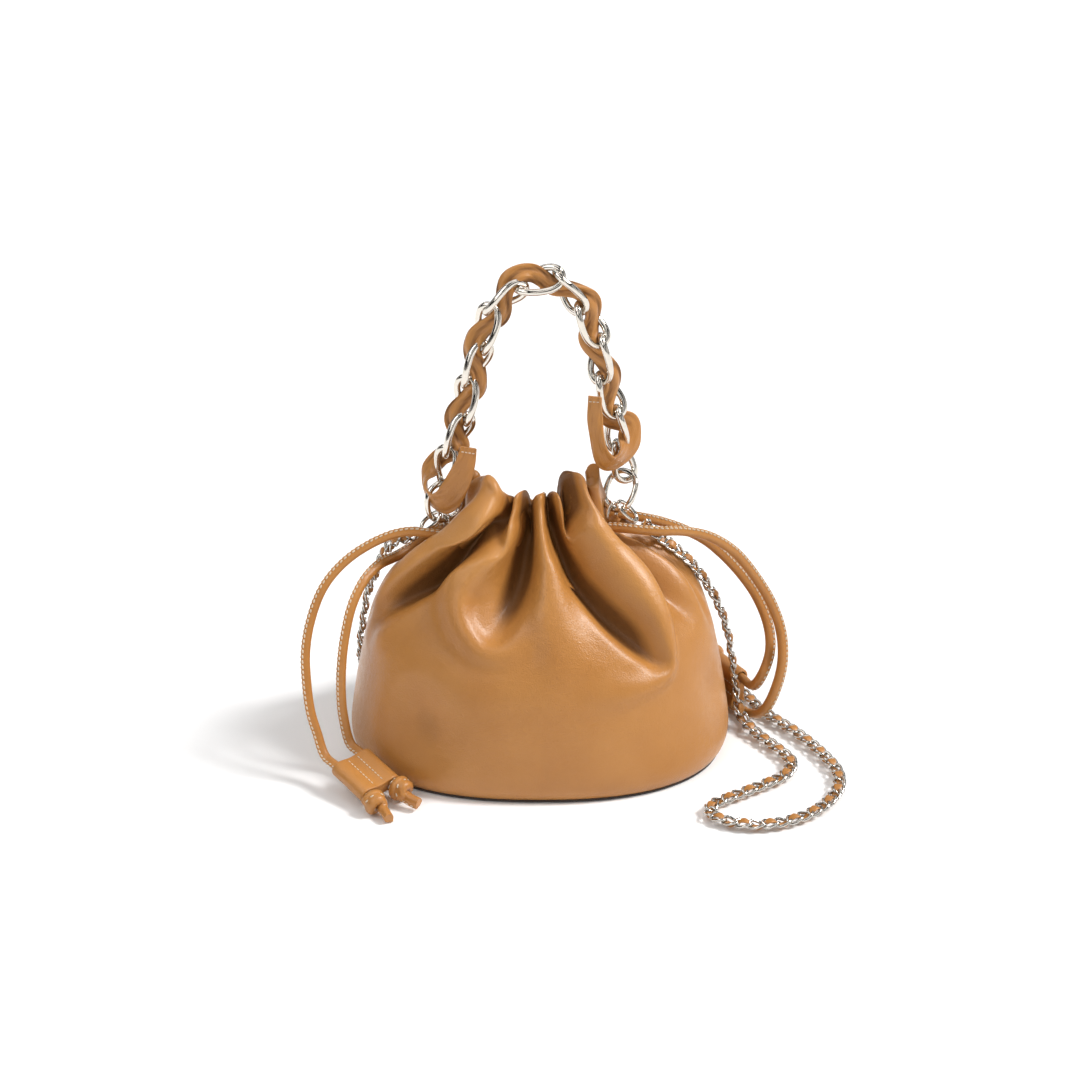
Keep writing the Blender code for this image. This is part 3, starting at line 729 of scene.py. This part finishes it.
def handle_joints():
    """Where the links meet: on the handle's line, set off to its two sides in turn."""
    line = smooth_route(HANDLE_PATH, 1.0)
    run = run_of(line)
    joints = at_run(line, run, np.linspace(0, run[-1], LINKS + 1))
    side = unit(np.cross(unit(np.gradient(joints, axis=0)), DEPTH))
    ways = np.array([0.0] + [1 if i % 2 else -1 for i in range(1, LINKS)] + [0.0])
    return line, run, joints + side * (ways * ZIGZAG)[:, None]


def build_handle_links(joints):
    for i, (start, end) in enumerate(zip(joints[:-1], joints[1:])):
        way = -1 if i % 2 else 1
        half = np.linalg.norm(end - start) / 2 + (LINK_WIRE + LINK_PLAY) / 2
        along = unit(end - start)
        wide = lean_direction(along, way)
        link = curb_link((start + end) / 2, along, wide, np.cross(along, wide), half,
                         LINK_HALF_WIDTH, LINK_WIRE, HANDLE_TWIST * way, 56, 16)
        piece = mesh_object(f"link_{i + 1:02d}", *link, STEEL)
        settle(piece, "handle", "polished_metal", f"handle_link_{i + 1:02d}")


def ribbon_stations(line, run):
    """Centre, face normal and width of the ribbon, from its left free end to its right one."""
    pitch = run[-1] / LINKS
    stations = [[*centre, *unit(face), width] for centre, face, width in TAIL_LEFT]
    for s in np.arange(pitch * 1.15, run[-1] - pitch * 1.6, pitch / 4):
        here, ahead = at_run(line, run, [s - 1, s + 1])
        side = unit(np.cross(unit(ahead - here), DEPTH))
        swing, dive = math.cos(math.pi * s / pitch), math.sin(math.pi * s / pitch)
        centre = (here + ahead) / 2 + side * RIBBON_SWING * swing
        centre[1] += 2.6 - 1.6 * swing ** 2
        face = unit(-DEPTH + side * 0.55 * swing + 0.35 * side * dive)
        stations.append([*centre, *face, RIBBON_WIDTH * (0.84 + 0.16 * swing ** 2)])
    stations += [[*centre, *unit(face), width] for centre, face, width in TAIL_RIGHT]
    fine = dense(stations, 14).T
    own = run_of(fine[:, :3])
    stops = np.linspace(0, own[-1], round(own[-1] / RIBBON_STEP))
    rows = at_run(fine, own, stops)
    return stops, rows[:, :3], unit(rows[:, 3:6]), rows[:, 6]


def ribbon_shape(stops, widths):
    """The ribbon's outline and crest at each stop: rolled edges, a fold along the middle and pinches."""
    c, s = np.cos(full_turn(RIBBON_POINTS)), np.sin(full_turn(RIBBON_POINTS))
    across = signed_power(c, 0.75)
    in_chain = smooth_step((stops - 62) / 24) * smooth_step((stops[-1] - 70 - stops) / 24)
    outline = np.zeros((len(stops), RIBBON_POINTS, 2))
    crest = np.zeros((len(stops), RIBBON_POINTS))
    for i, (at, body) in enumerate(zip(stops, in_chain)):
        thick = (TAIL_THICK + (RIBBON_THICK - TAIL_THICK) * body) / 2
        roll = 1 + 0.35 * np.abs(c) ** 6 - 0.3 * body * np.exp(-((across - 0.25) / 0.2) ** 2)
        crease = (0.2 + 0.45 * body) * np.cos(across * 5 + at / 6) + 0.16 * np.cos(across * 12 - at / 2.7)
        fold = crease + (0.35 + 0.3 * (1 - body)) * np.sin(at / 4.1) * across
        outline[i, :, 0] = widths[i] * (1 + 0.05 * math.sin(at / 2.9) * body) / 2 * across
        outline[i, :, 1] = thick * roll * signed_power(s, 0.75) + fold
        # painted highlight on the crease crests, painted shade in the crease hollows and along the rolled
        # edges
        crest[i] = crease * 1.3 * np.sign(s) - 0.75 * body * np.abs(across) ** 8
    return outline, crest.reshape(-1)


def build_ribbon(line, run):
    stops, centre, normals, widths = ribbon_stations(line, run)
    outline, crest = ribbon_shape(stops, widths)
    band = mesh_object("handle_ribbon_leather", *sweep(centre, outline, normals=normals), LEATHER_FOLDED,
                       sharp=70, crest=crest)
    settle(band, "handle", "tan_leather", "handle_ribbon")
    _, n, b = frames_along(centre, normals=normals)
    threads = []
    for end in (3, len(centre) - 4):
        for lift in (-1, 1):
            row = centre[end] + np.outer(np.linspace(-0.42, 0.42, 9) * widths[end], b[end])
            threads += stitches_along(row, repeated(n[end] * lift, row), 1.2, pitch=2.0, length=1.5,
                                      radius=0.3)
    settle(mesh_object("handle_ribbon_stitching", *merged(threads), THREAD), "handle", "tan_leather")


def oval(name, ring, half_long, half_wide, wire, steps, sides):
    """A wire ring on (centre, long direction, wide direction)."""
    centre, u, v = (np.array(part, float) for part in ring)
    u = unit(u)
    v = square_to(v, u)
    link = curb_link(centre, u, v, np.cross(u, v), half_long, half_wide, wire, 0, steps, sides)
    return mesh_object(name, *link, STEEL)


def keeper_frame(label):
    """Centre, upward and wide directions of the small loop at the bottom of an O-ring."""
    centre, u, v = (np.array(part, float) for part in RING[label])
    u = unit(u)
    return centre - u * (RING_R - KEEPER_RISE + KEEPER_HALF[0]), u, np.cross(u, square_to(v, u))


def tab_piece(label):
    """A leather tab folded round the keeper."""
    middle, u, side = keeper_frame(label)
    low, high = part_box(f"tab_{label}")
    centre = (np.array(low) + np.array(high)) / (2 * MM)
    bottom = middle - u * KEEPER_HALF[0]
    inward = unit(np.array([-3, 0, 118.0]) - bottom)
    line = smooth_route([bottom + u * 1.9 - inward * 1.2, bottom - u * 0.2 - inward * 2.4,
                         centre - inward * 0.6, centre + inward * 5, centre + inward * 12], 0.6)
    normals = repeated(unit(np.cross(unit(np.cross(u, np.cross(side, u))), inward)), line)
    width = np.interp(run_of(line), [0, 3, 10], [6.4, 7.6, 8.4])
    outline = np.stack([band_outline(w, 3.6, 18) for w in width])
    return mesh_object(f"tab_{label}_leather", *sweep(line, outline, normals=normals), LEATHER_SMALL,
                       sharp=60)


def build_metal():
    line, run, joints = handle_joints()
    build_handle_links(joints)
    build_ribbon(line, run)
    for label in ("left", "right"):
        settle(oval(f"o_ring_{label}", RING[label], RING_R, RING_R, RING_WIRE, 48, 16), f"ring_{label}",
               "polished_metal", f"ring_{label}")
        settle(oval(f"keeper_loop_{label}", keeper_frame(label), *KEEPER_HALF, KEEPER_WIRE, 32, 12), "bag",
               "polished_metal", f"keeper_{label}")
        settle(oval(f"strap_loop_{label}", STRAP_RING[label], *STRAP_RING_HALF, STRAP_RING_WIRE, 36, 12),
               "bag", "polished_metal", f"strap_ring_{label}")
        settle(tab_piece(label), "bag", "tan_leather", f"tab_{label}")


build_metal()


# ---------------------------------------------------------------- gathered body

# The gathered skin: half width, half depth and shift at each height, before the folds.
SKIN = [
    (0, 104, 82, 0), (5, 108.5, 86.5, 0), (14, 110.5, 88, 0), (30, 108.5, 86.5, 0),
    (47, 105.5, 84, 0), (64, 102, 80.5, 0), (77, 98.5, 75, 0), (88, 93, 68, 0), (96, 87.5, 62, 0),
    (104, 80, 55.5, 0), (112, 70.5, 48.5, 0), (119, 60, 42.5, 0), (125, 53, 38, 0),
    (131, 47, 34, -0.5), (139, 41, 29.5, -1), (147, 37, 25.5, -1.5), (157, 35, 22, -1.5),
    (175, 35, 21.5, -1.5),
]
SKIN_FINE = dense(SKIN)
RIM_Z, RIM_ROLL = 157.0, 3.8
# Height of the mouth's edge at each angle: tall first and last folds, a low back.
RIM_TOPS = [
    (-180, 154), (-166, 158), (-152, 163), (-140, 166), (-129, 164), (-122, 158), (-116, 149),
    (-111.5, 155), (-107.5, 157.5), (-103.5, 156.5), (-100, 151.5), (-97, 145), (-92.5, 154), (-88, 157),
    (-83, 156), (-79.5, 150), (-74, 157), (-70, 156), (-65, 147), (-60, 157), (-55, 165),
    (-49, 167.5), (-42, 165), (-33, 159), (-22, 156), (-11, 157), (0, 159), (10, 163), (20, 166),
    (30, 160), (42, 151), (56, 145), (72, 142.5), (88, 142), (104, 142.5), (118, 143), (132, 147),
    (145, 155), (158, 162), (168, 160), (180, 154),
]
# Folds as strokes on the skin: (angle in degrees, height, rise, half width). A fold rises, a valley
# sinks. Angle -90 is the front, 0 the right side and 180 the left side. The first number of a
# stroke says how far it leans toward its neighbour on the left (+) or the right (-).
FOLDS = {
    "first_fold": (-0.3, [
        (-132, 171, 8, 8), (-133, 158, 14, 9.5), (-139, 146, 18.5, 11), (-146, 132, 20.5, 12),
        (-152, 118, 18, 13), (-156.5, 105, 14, 13.5), (-159, 92, 9.5, 13.5), (-161, 80, 5, 14),
        (-162, 70, 1.5, 15), (-162, 62, 0, 15)]),
    "first_valley": (0.35, [
        (-112.5, 162, -15, 1.9), (-115, 152, -20, 2.2), (-121, 142.5, -27, 2.5), (-129, 131.5, -31, 2.7),
        (-136, 120, -31, 3.0), (-141.5, 111, -27, 3.5), (-147, 103, -20, 4.2), (-152, 95, -13.5, 5.2),
        (-157, 87, -8.5, 6.4), (-162, 80, -5, 7), (-166, 74, -2, 7), (-168, 70, 0, 7)]),
    "second_fold": (0.25, [
        (-107, 163, 9, 6.4), (-110.5, 152, 13, 7.2), (-116, 143, 15.5, 8.2), (-122.5, 134, 16, 9.6),
        (-127, 123, 15.5, 10.6), (-128.5, 113, 13, 10.6), (-126, 105, 10, 9.4), (-121, 97, 7.5, 8),
        (-115, 90, 5.4, 7), (-109, 85.5, 3.8, 6.4), (-102.5, 85, 2.8, 6.4), (-97, 90, 2, 6.6),
        (-93, 100, 1, 7), (-91.5, 108, 0, 7)]),
    "second_valley": (0.0, [
        (-98, 160, -14, 2.1), (-100, 150, -19, 3.8), (-101, 141, -21, 5.2), (-101.5, 131, -19, 6.4),
        (-102, 120, -15.5, 7.4), (-103.5, 109, -11, 8.2), (-105, 100, -6.5, 8), (-106, 92, -2.6, 7.4),
        (-106, 86, 0, 6)]),
    "third_fold": (0.0, [
        (-88, 162, 7, 3.0), (-87.5, 150, 9, 3.6), (-86.5, 138, 10, 5), (-85.5, 124, 9, 7.5),
        (-85.5, 112, 8, 9.5), (-85, 101, 6, 12), (-82.5, 87, 3.5, 14), (-78, 70, 0, 16)]),
    "third_valley": (0.0, [
        (-79.5, 160, -12, 2.4), (-78, 150, -15, 3.2), (-75.5, 140, -18, 4.2), (-72.5, 129, -18.5, 5.1),
        (-69, 119, -18.5, 5.8), (-65, 110, -19, 6.4), (-61, 101, -18.5, 7.1), (-56.5, 92, -15, 7.4),
        (-53, 83.5, -9.5, 6.4), (-50, 76.5, -5, 4.8), (-47, 72.5, -2, 3.6), (-45.5, 70.5, 0, 3)]),
    "small_fold": (0.0, [
        (-71, 163, 10, 4.2), (-69.5, 154, 12, 4.4), (-68, 147, 10, 4.2), (-67, 140, 5, 4.0),
        (-66, 133, 0, 3.4)]),
    "pocket": (0.0, [
        (-61, 163, -20, 2.8), (-58, 156, -27, 4.2), (-57, 150.5, -22, 4.4), (-58, 146.5, -7, 3.6),
        (-59, 143, 0, 3.2)]),
    "big_fold": (0.15, [
        (-54, 171, 6, 6.5), (-50, 159, 10, 7.5), (-47, 148, 14, 8.4), (-44, 138, 16, 9.2),
        (-42.5, 128, 15, 10), (-43, 118, 15, 10.6), (-44, 107, 13.5, 10.5), (-44.5, 96.5, 11, 9.4),
        (-45, 86, 8, 7.6), (-45.2, 77, 5.5, 5.6), (-47, 70.5, 4.2, 5), (-52, 66.5, 3.2, 5.6),
        (-60, 64.5, 2.4, 7), (-68, 65, 1.4, 9), (-76, 70, 0, 11)]),
    "fifth_valley": (0.45, [
        (-32, 165, -8, 3.4), (-28, 150, -11, 3.6), (-25, 138, -13, 4), (-24, 126, -13, 4.6),
        (-24, 114, -11, 5.6), (-25, 102, -5, 7), (-23, 92, -2, 8), (-22, 84, 0, 9)]),
    "right_fold": (0.0, [
        (-13, 160, 0, 5), (-14, 148, 1.5, 5), (-15, 133, 4.5, 6), (-15.5, 120, 7, 8), (-15, 106, 7, 10),
        (-12, 92, 4, 12), (-9, 76, 1, 13), (-8, 64, 0, 13)]),
    "right_crease": (0.0, [
        (-3, 132, 0, 4), (-4.5, 120, -2.5, 4.2), (-6, 108, -4.5, 4.4), (-8, 97, -4, 4.6),
        (-10, 86, -2.4, 5), (-12, 74, 0, 5.4)]),
    "left_seam_dip": (0.0, [
        (-177, 124, -3, 4), (-175, 110, -5, 5), (-174, 96, -3.5, 7), (-173, 78, 0, 9)]),
    "left_back_fold": (0.0, [
        (166, 128, 0, 7), (168, 108, 4, 9), (170, 90, 2, 12), (170, 74, 0, 12)]),
    "right_back_fold": (0.0, [
        (20, 160, 0, 6), (18, 146, 1, 6), (17, 132, 4, 8), (16, 114, 8, 10), (14, 94, 4, 12),
        (13, 76, 0, 12)]),
    "lower_left_dent": (0.0, [
        (-136, 68, 0, 14), (-129, 54, -3.6, 16), (-125, 41, -5.2, 17), (-122, 28, -3.8, 16),
        (-120, 12, 0, 12)]),
    "lower_right_dent": (0.0, [
        (-24, 66, 0, 10), (-22, 48, -1.8, 11), (-22, 30, -1.4, 11), (-22, 16, 0, 9)]),
}
BACK_FOLDS, BACK_FROM, BACK_TO = 6, 38, 146
# Each row of a back pleat: (height, share of its spread, share of its drift, depth, width).
BACK_ROWS = [(172, 0, 0, 0.4, 1), (150, 0, 0, 0.7, 1), (136, 0.2, 0, 1, 1.15), (122, 0.5, 0.4, 1, 1.5),
             (107, 0.8, 0.8, 0.66, 2)]
OUTER_ROWS, RIM_ROWS, INNER_ROWS, AROUND = 150, 14, 26, 720
INNER_LOW_Z, STRETCH_FROM = 112.0, 122.0
# For each side: the middle of the kept neck in depth, then how far ahead of it and behind it the
# neck is (fully kept, kept at all).
NECK_Y = {-1: (2.5, (6.0, 13.0), (12.0, 24.0)), 1: (0.0, (8.0, 15.0), (9.0, 19.0))}
MOST_RISE, SKIN_THICK, CREST_SCALE = 24.0, 1.1, 9


def back_folds():
    """Pleats of the back, gathered with small differences."""
    folds = {}
    for i, angle in enumerate(np.linspace(BACK_FROM, BACK_TO, BACK_FOLDS * 2 - 1)):
        jitter, reach, drift = rng.uniform(-2.5, 2.5), rng.uniform(0, 1), rng.uniform(-5, 5)
        out = -1 if i % 2 else 1
        low, spread = 88 - 24 * reach, (angle - 90) * 0.10
        depth = (8.5 if out > 0 else 10.5) * (0.8 + 0.4 * reach)
        wide = 6.4 if out > 0 else 4.4
        rows = BACK_ROWS + [((104 + low) / 2, 1, 1, 0.3, 2.5), (low, 1, 1, 0, 2.8)]
        folds[f"back_{i}"] = (0.3 * out * np.sign(angle - 90), [
            (angle + jitter - spread * s + drift * d, z, out * depth * deep, wide * w)
            for z, s, d, deep, w in rows])
    return folds


def skin_points(angle, z, inset=0.0):
    """Points of the plain skin at angles in radians and one height or matching heights."""
    a, b, shift = (np.interp(z, SKIN_FINE[0], row) for row in SKIN_FINE[1:])
    power = 2.4 - 0.4 * np.clip(np.asarray(z, float) / 110, 0, 1)
    c, s = np.cos(angle), np.sin(angle)
    x = shift + (a - inset) * signed_power(c, 2 / power)
    y = (b - inset) * signed_power(s, 2 / power)
    y = y * np.where(s > 0, 1 - 0.42 * smooth_step((z - 118) / 36), 1 - 0.1 * smooth_step((z - 138) / 19))
    # at the sides the gathered neck keeps clear of the cords, tabs and rings
    neck_a, neck_b, neck_shift = section(z)
    tall = smooth_step((z - 120) / 16)
    for side, (middle, ahead, behind) in NECK_Y.items():
        near, far = (np.where(y < middle, *pair) for pair in zip(ahead, behind))
        reach = np.sqrt(np.clip(1 - (y / neck_b) ** 2, 0.04, 1))
        neck = neck_shift + side * ((neck_a - inset) * reach + 0.6)
        beside = smooth_step((side * c - 0.76) / 0.16)
        weight = tall * (1 - smooth_step((np.abs(y - middle) - near) / (far - near))) * beside
        x = x * (1 - weight) + neck * weight
    return np.stack([x, y, np.broadcast_to(z, np.shape(x))], axis=-1)


def stretched(angle, z):
    """The true height of a row: rows near the mouth are stretched up to its edge."""
    degrees = np.mod(np.degrees(angle) + 180, 360) - 180
    top = np.interp(degrees, *dense(RIM_TOPS))
    return z + (top - RIM_Z) * smooth_step((z - STRETCH_FROM) / (RIM_Z - STRETCH_FROM))


def row_height(angle, z):
    """The row that lies at a true height."""
    row = np.array(z, float)
    for _ in range(12):
        row = row - 0.7 * (stretched(angle, row) - z)
    return row


def nearest_on(line, points):
    """Each point's distance from a line and its place along it, counted in the line's points."""
    best, where = np.full(len(points), 1e9), np.zeros(len(points))
    for i, (a, b) in enumerate(zip(line[:-1], line[1:])):
        d, rel = b - a, points - a
        t = np.clip(rel @ d / max(d @ d, 1e-9), 0, 1)
        square = ((rel - t[:, None] * d) ** 2).sum(1)
        closer = square < best
        best, where = np.where(closer, square, best), np.where(closer, i + t, where)
    return np.sqrt(best), where


def stroke_field(points, normals, stroke):
    """How far each point moves for one stroke, as a vector and as a rise."""
    lean, nodes = stroke
    angle, height, rise, wide = dense(nodes, 8)
    angle = np.radians(angle)
    line = skin_points(angle, np.minimum(row_height(angle, height), RIM_Z + 8))
    distance, where = nearest_on(line, points)
    places = np.arange(len(line), dtype=float)
    rise, wide = np.interp(where, places, rise), np.interp(where, places, wide)
    q = distance / wide
    amount = rise * np.exp(-np.where(rise < 0, q ** 2.2, q ** 2.8))
    vector = amount[:, None] * normals
    if lean:
        # a leaning fold tips over to one side, less so near the mouth
        along = unit(at_run(unit(np.gradient(line, axis=0)), places, where))
        low = 1 - smooth_step((points[:, 2] - 140) / 14)
        vector = vector + (amount * lean * low)[:, None] * np.cross(normals, along)
    return vector, amount


def body_grid():
    """Heights and insets of the rows, from the base's edge up, over the rim and down inside."""
    low = np.array([0.0, 0.6, 1.6, 3.0, 5.0])
    outer = np.concatenate([low, np.linspace(7, RIM_Z, OUTER_ROWS - len(low))])
    turn = np.linspace(0, math.pi, RIM_ROWS + 2)[1:-1]
    inner = np.linspace(RIM_Z, INNER_LOW_Z, INNER_ROWS)
    z = np.concatenate([outer, RIM_Z + RIM_ROLL * np.sin(turn), inner])
    inset = np.concatenate([0 * outer, RIM_ROLL * (1 - np.cos(turn)), np.full(INNER_ROWS, 2 * RIM_ROLL)])
    return z, inset


def skin_normals(grid, z):
    """Outward directions of the plain skin, turning level near the mouth."""
    du = np.roll(grid, -1, axis=1) - np.roll(grid, 1, axis=1)
    outer = unit(np.cross(du[:OUTER_ROWS], np.gradient(grid[:OUTER_ROWS], axis=0)))
    outer[..., 2] *= 1 - smooth_step((z[:OUTER_ROWS] - 112) / 30)[:, None]
    # inside, each row goes the way that the outer row at its height goes
    same = np.argmin(np.abs(z[:OUTER_ROWS, None] - np.minimum(z, RIM_Z)[None]), axis=0)
    return unit(outer[same])


def evened(field, times=4):
    """Neighbouring points share their moves, so that no crease is sharper than leather allows."""
    for _ in range(times):
        field = (np.roll(field, 1, axis=1) + 2 * field + np.roll(field, -1, axis=1)) / 4
        field[1:-1] = (field[:-2] + 2 * field[1:-1] + field[2:]) / 4
    return field


def soft_limit(rise):
    """The share of a move that is kept, so that overlapping strokes don't add up to too much."""
    size = np.maximum(np.abs(rise), 1e-6)
    return MOST_RISE * np.tanh(size / MOST_RISE) / size


def gathered_surface():
    """The folded leather as a grid of points, with each point's crest value and column's angle."""
    z, inset = body_grid()
    # columns are closer together at the front, where the folds are fine
    u = full_turn(AROUND)
    angle = u + 0.32 * np.cos(u)
    grid = np.stack([skin_points(angle, min(float(h), RIM_Z)) for h in z])
    normal = skin_normals(grid, z)
    fields = [stroke_field(grid.reshape(-1, 3), normal.reshape(-1, 3), stroke)
              for stroke in {**FOLDS, **back_folds()}.values()]
    move = evened(sum(vector for vector, _ in fields).reshape(grid.shape))
    rise = evened(sum(amount for _, amount in fields).reshape(grid.shape[:2]))
    # painted shade: the deep cores of the valleys darken the leather through the crest value
    valley_shade = evened(sum(np.minimum(amount + 4, 0) for _, amount in fields).reshape(grid.shape[:2]))
    keep = soft_limit(rise)
    # the outer edge rolls over at the mouth, and the inner side keeps one hem's thickness in
    curl = smooth_step((z - (RIM_Z - 13)) / 13)[:, None]
    points = grid + move * (keep * (1 - 0.25 * curl))[..., None]
    radial = unit(normal * LEVEL)
    points -= radial * (inset[:, None] + curl ** 2 * np.clip(rise, 0, 10) * 0.2)[..., None]
    true_z = np.stack([stretched(angle, min(float(h), RIM_Z)) + max(float(h) - RIM_Z, 0) for h in z])
    points[..., 2] += true_z - grid[..., 2]
    # the crest value paints highlight on the folds' crests and shade in their valleys
    return points, (rise * keep * 0.6 + valley_shade * 0.8) / CREST_SCALE, angle


def build_body():
    points, crest, angle = gathered_surface()
    rows = len(points)
    # split at the side seams, angles 0 and 180 degrees, into the back and the front
    turn = np.mod(angle, 2 * math.pi)
    order = np.argsort(turn)
    turn, points, crest = turn[order], points[:, order], crest[:, order]
    for name, nodes, mine in (("back_leather", ["back_panel"], turn < math.pi),
                              ("front_leather", ["front_panel", "rim_facing"], turn >= math.pi)):
        # each half ends on the column where the other begins
        columns = np.flatnonzero(mine)
        columns = np.append(columns, (columns[-1] + 1) % AROUND)
        count = len(columns)
        faces = [(i * count + j, i * count + j + 1, (i + 1) * count + j + 1, (i + 1) * count + j)
                 for i in range(rows - 1) for j in range(count - 1)]
        piece = mesh_object(name, points[:, columns].reshape(-1, 3), faces, LEATHER_BODY, LEATHER_EDGE,
                            crest=crest[:, columns].reshape(-1))
        shaped_by(piece, "SOLIDIFY", thickness=SKIN_THICK * MM, offset=-1, material_offset_rim=1)
        piece.data.shade_smooth()
        settle(piece, "bag", "tan_leather", *nodes)


build_body()


# ---------------------------------------------------------------- lining, base and floor

FLOOR_Z, FLOOR_TUCK, LINING_THICK = 6, 6, 0.6
# Rows of a flat plate: (inset from the body's edge, height).
BASE_ROWS = [(6, 0.0), (2.2, 0.0), (1.0, 0.5), (0.6, 1.3), (1.0, 2.0), (2.6, 2.3), (6, 2.2)]
BOARD_ROWS = [(7.2, 2.5), (6.4, 2.9), (6.4, 3.9), (7.2, 4.3)]


def build_lining():
    """The lining as a soft cup that follows the gathers."""
    count = 200
    angle = full_turn(count)
    rings = []
    for h in np.concatenate([np.linspace(FLOOR_Z, 100, 40), np.linspace(101, 118, 12)]):
        full = 1.6 * np.clip((h - 60) / 50, 0, 1)
        pleat = full * np.cos(26 * angle + 0.8 * np.sin(3 * angle))
        clear = 9 + 20 * smooth_step((h - 40) / 46) + FLOOR_TUCK * math.exp(-((h - FLOOR_Z) / 3) ** 2)
        core = skin_points(angle, float(h), clear)
        rings.append(core - unit(core * LEVEL) * (full + pleat)[:, None])
    points = np.vstack([*rings, [[0, 0, FLOOR_Z]]])
    faces = ring_faces(len(rings), count)
    faces += [(j, len(points) - 1, (j + 1) % count) for j in range(count)]
    cup = mesh_object("lining_cloth", points, faces, LINING_CLOTH)
    shaped_by(cup, "SOLIDIFY", thickness=LINING_THICK * MM, offset=0)
    settle(cup, "bag", "lining_cloth", "lining")


def build_plate(name, rows, mat, slot, node):
    count = 160
    rings = np.stack([skin_points(full_turn(count), 3.0, inset) * LEVEL + np.array([0, 0, z])
                      for inset, z in rows])
    faces = ring_faces(len(rows), count) + end_caps(len(rows), count)
    settle(mesh_object(name, rings.reshape(-1, 3), faces, mat, sharp=60), "bag", slot, node)


def build_stage():
    mat, net, shader, coords = new_material("studio floor")
    net.feed(shader.inputs["Base Color"],
             net.mix(net.noise(coords, 3), (0.93, 0.93, 0.93, 1), (0.95, 0.95, 0.948, 1)))
    shader.inputs["Roughness"].default_value = 0.7
    shader.inputs["Specular IOR Level"].default_value = 0.15
    corners = [(-6000, -3000, 0), (6000, -3000, 0), (6000, 9000, 0), (-6000, 9000, 0)]
    mesh_object("studio_floor", np.array(corners, float), [(0, 1, 2, 3)], mat)


build_lining()
# the base plate's rim shows under the body as a painted contact shadow line
build_plate("base_leather", BASE_ROWS, BASE_PAINTED_SHADOW, "tan_leather", "base_panel")
build_plate("board_cover", BOARD_ROWS, BOARD, "base_board", "base_board")
build_stage()


# ---------------------------------------------------------------- light

WORLD_CARDS, WORLD_DARK, WORLD_BRIGHT = 3.4, 0.02, 1.3
SUN_FROM, SUN_POWER, SUN_SPREAD = (0.9, -0.06, 1.0), 3.2, 20
# Soft boxes, in metres: (name, place, aim, size, watts).
FILLS = [("front_fill", (-0.8, -1.4, 0.9), (0, 0, 0.1), (0.7, 0.6), 2.5),
         ("top_fill", (-0.75, -0.45, 1.05), (0, 0, 0.12), (0.6, 0.6), 2.6)]


def new_light(name, kind):
    light = bpy.data.objects.new(name, bpy.data.lights.new(name, kind))
    bpy.context.scene.collection.objects.link(light)
    return light


def build_fill(name, place, aim, size, watts):
    light = new_light(name, "AREA")
    light.data.shape, light.data.energy = "RECTANGLE", watts
    light.data.size, light.data.size_y = size
    light.location = place
    light.rotation_euler = (Vector(aim) - Vector(place)).to_track_quat("-Z", "Y").to_euler()


def build_key():
    sun = new_light("key", "SUN")
    sun.data.energy, sun.data.angle = SUN_POWER, math.radians(SUN_SPREAD)
    sun.rotation_euler = Vector(SUN_FROM).to_track_quat("Z", "Y").to_euler()


def build_world():
    """A bright studio with darker card between its lights, which polished metal mirrors."""
    world = bpy.data.worlds.new("studio")
    bpy.context.scene.world = world
    net = Net(world)
    mirrored = net.nodes["Background"]
    mirrored.inputs["Color"].default_value = (1, 1, 1, 1)
    coords = net.add("ShaderNodeTexCoord").outputs["Generated"]
    cards = net.remap(net.noise(coords, WORLD_CARDS, 0.5), 0.5, 0.55, WORLD_DARK, WORLD_BRIGHT)
    height = net.add("ShaderNodeSeparateXYZ", coords).outputs["Z"]
    net.feed(mirrored.inputs["Strength"], net.math("MULTIPLY", cards, net.remap(height, 0.0, 0.7, 0.4, 1.0)))
    # seen directly, the studio is plain white paper
    paper = net.add("ShaderNodeBackground", (1, 1, 1, 1))
    direct = net.add("ShaderNodeLightPath").outputs["Is Camera Ray"]
    either = net.add("ShaderNodeMixShader", direct, mirrored.outputs[0], paper.outputs[0])
    net.feed(net.nodes["World Output"].inputs["Surface"], either.outputs[0])


build_world()
build_key()
for fill in FILLS:
    build_fill(*fill)
bpy.context.scene.view_settings.view_transform = "Standard"
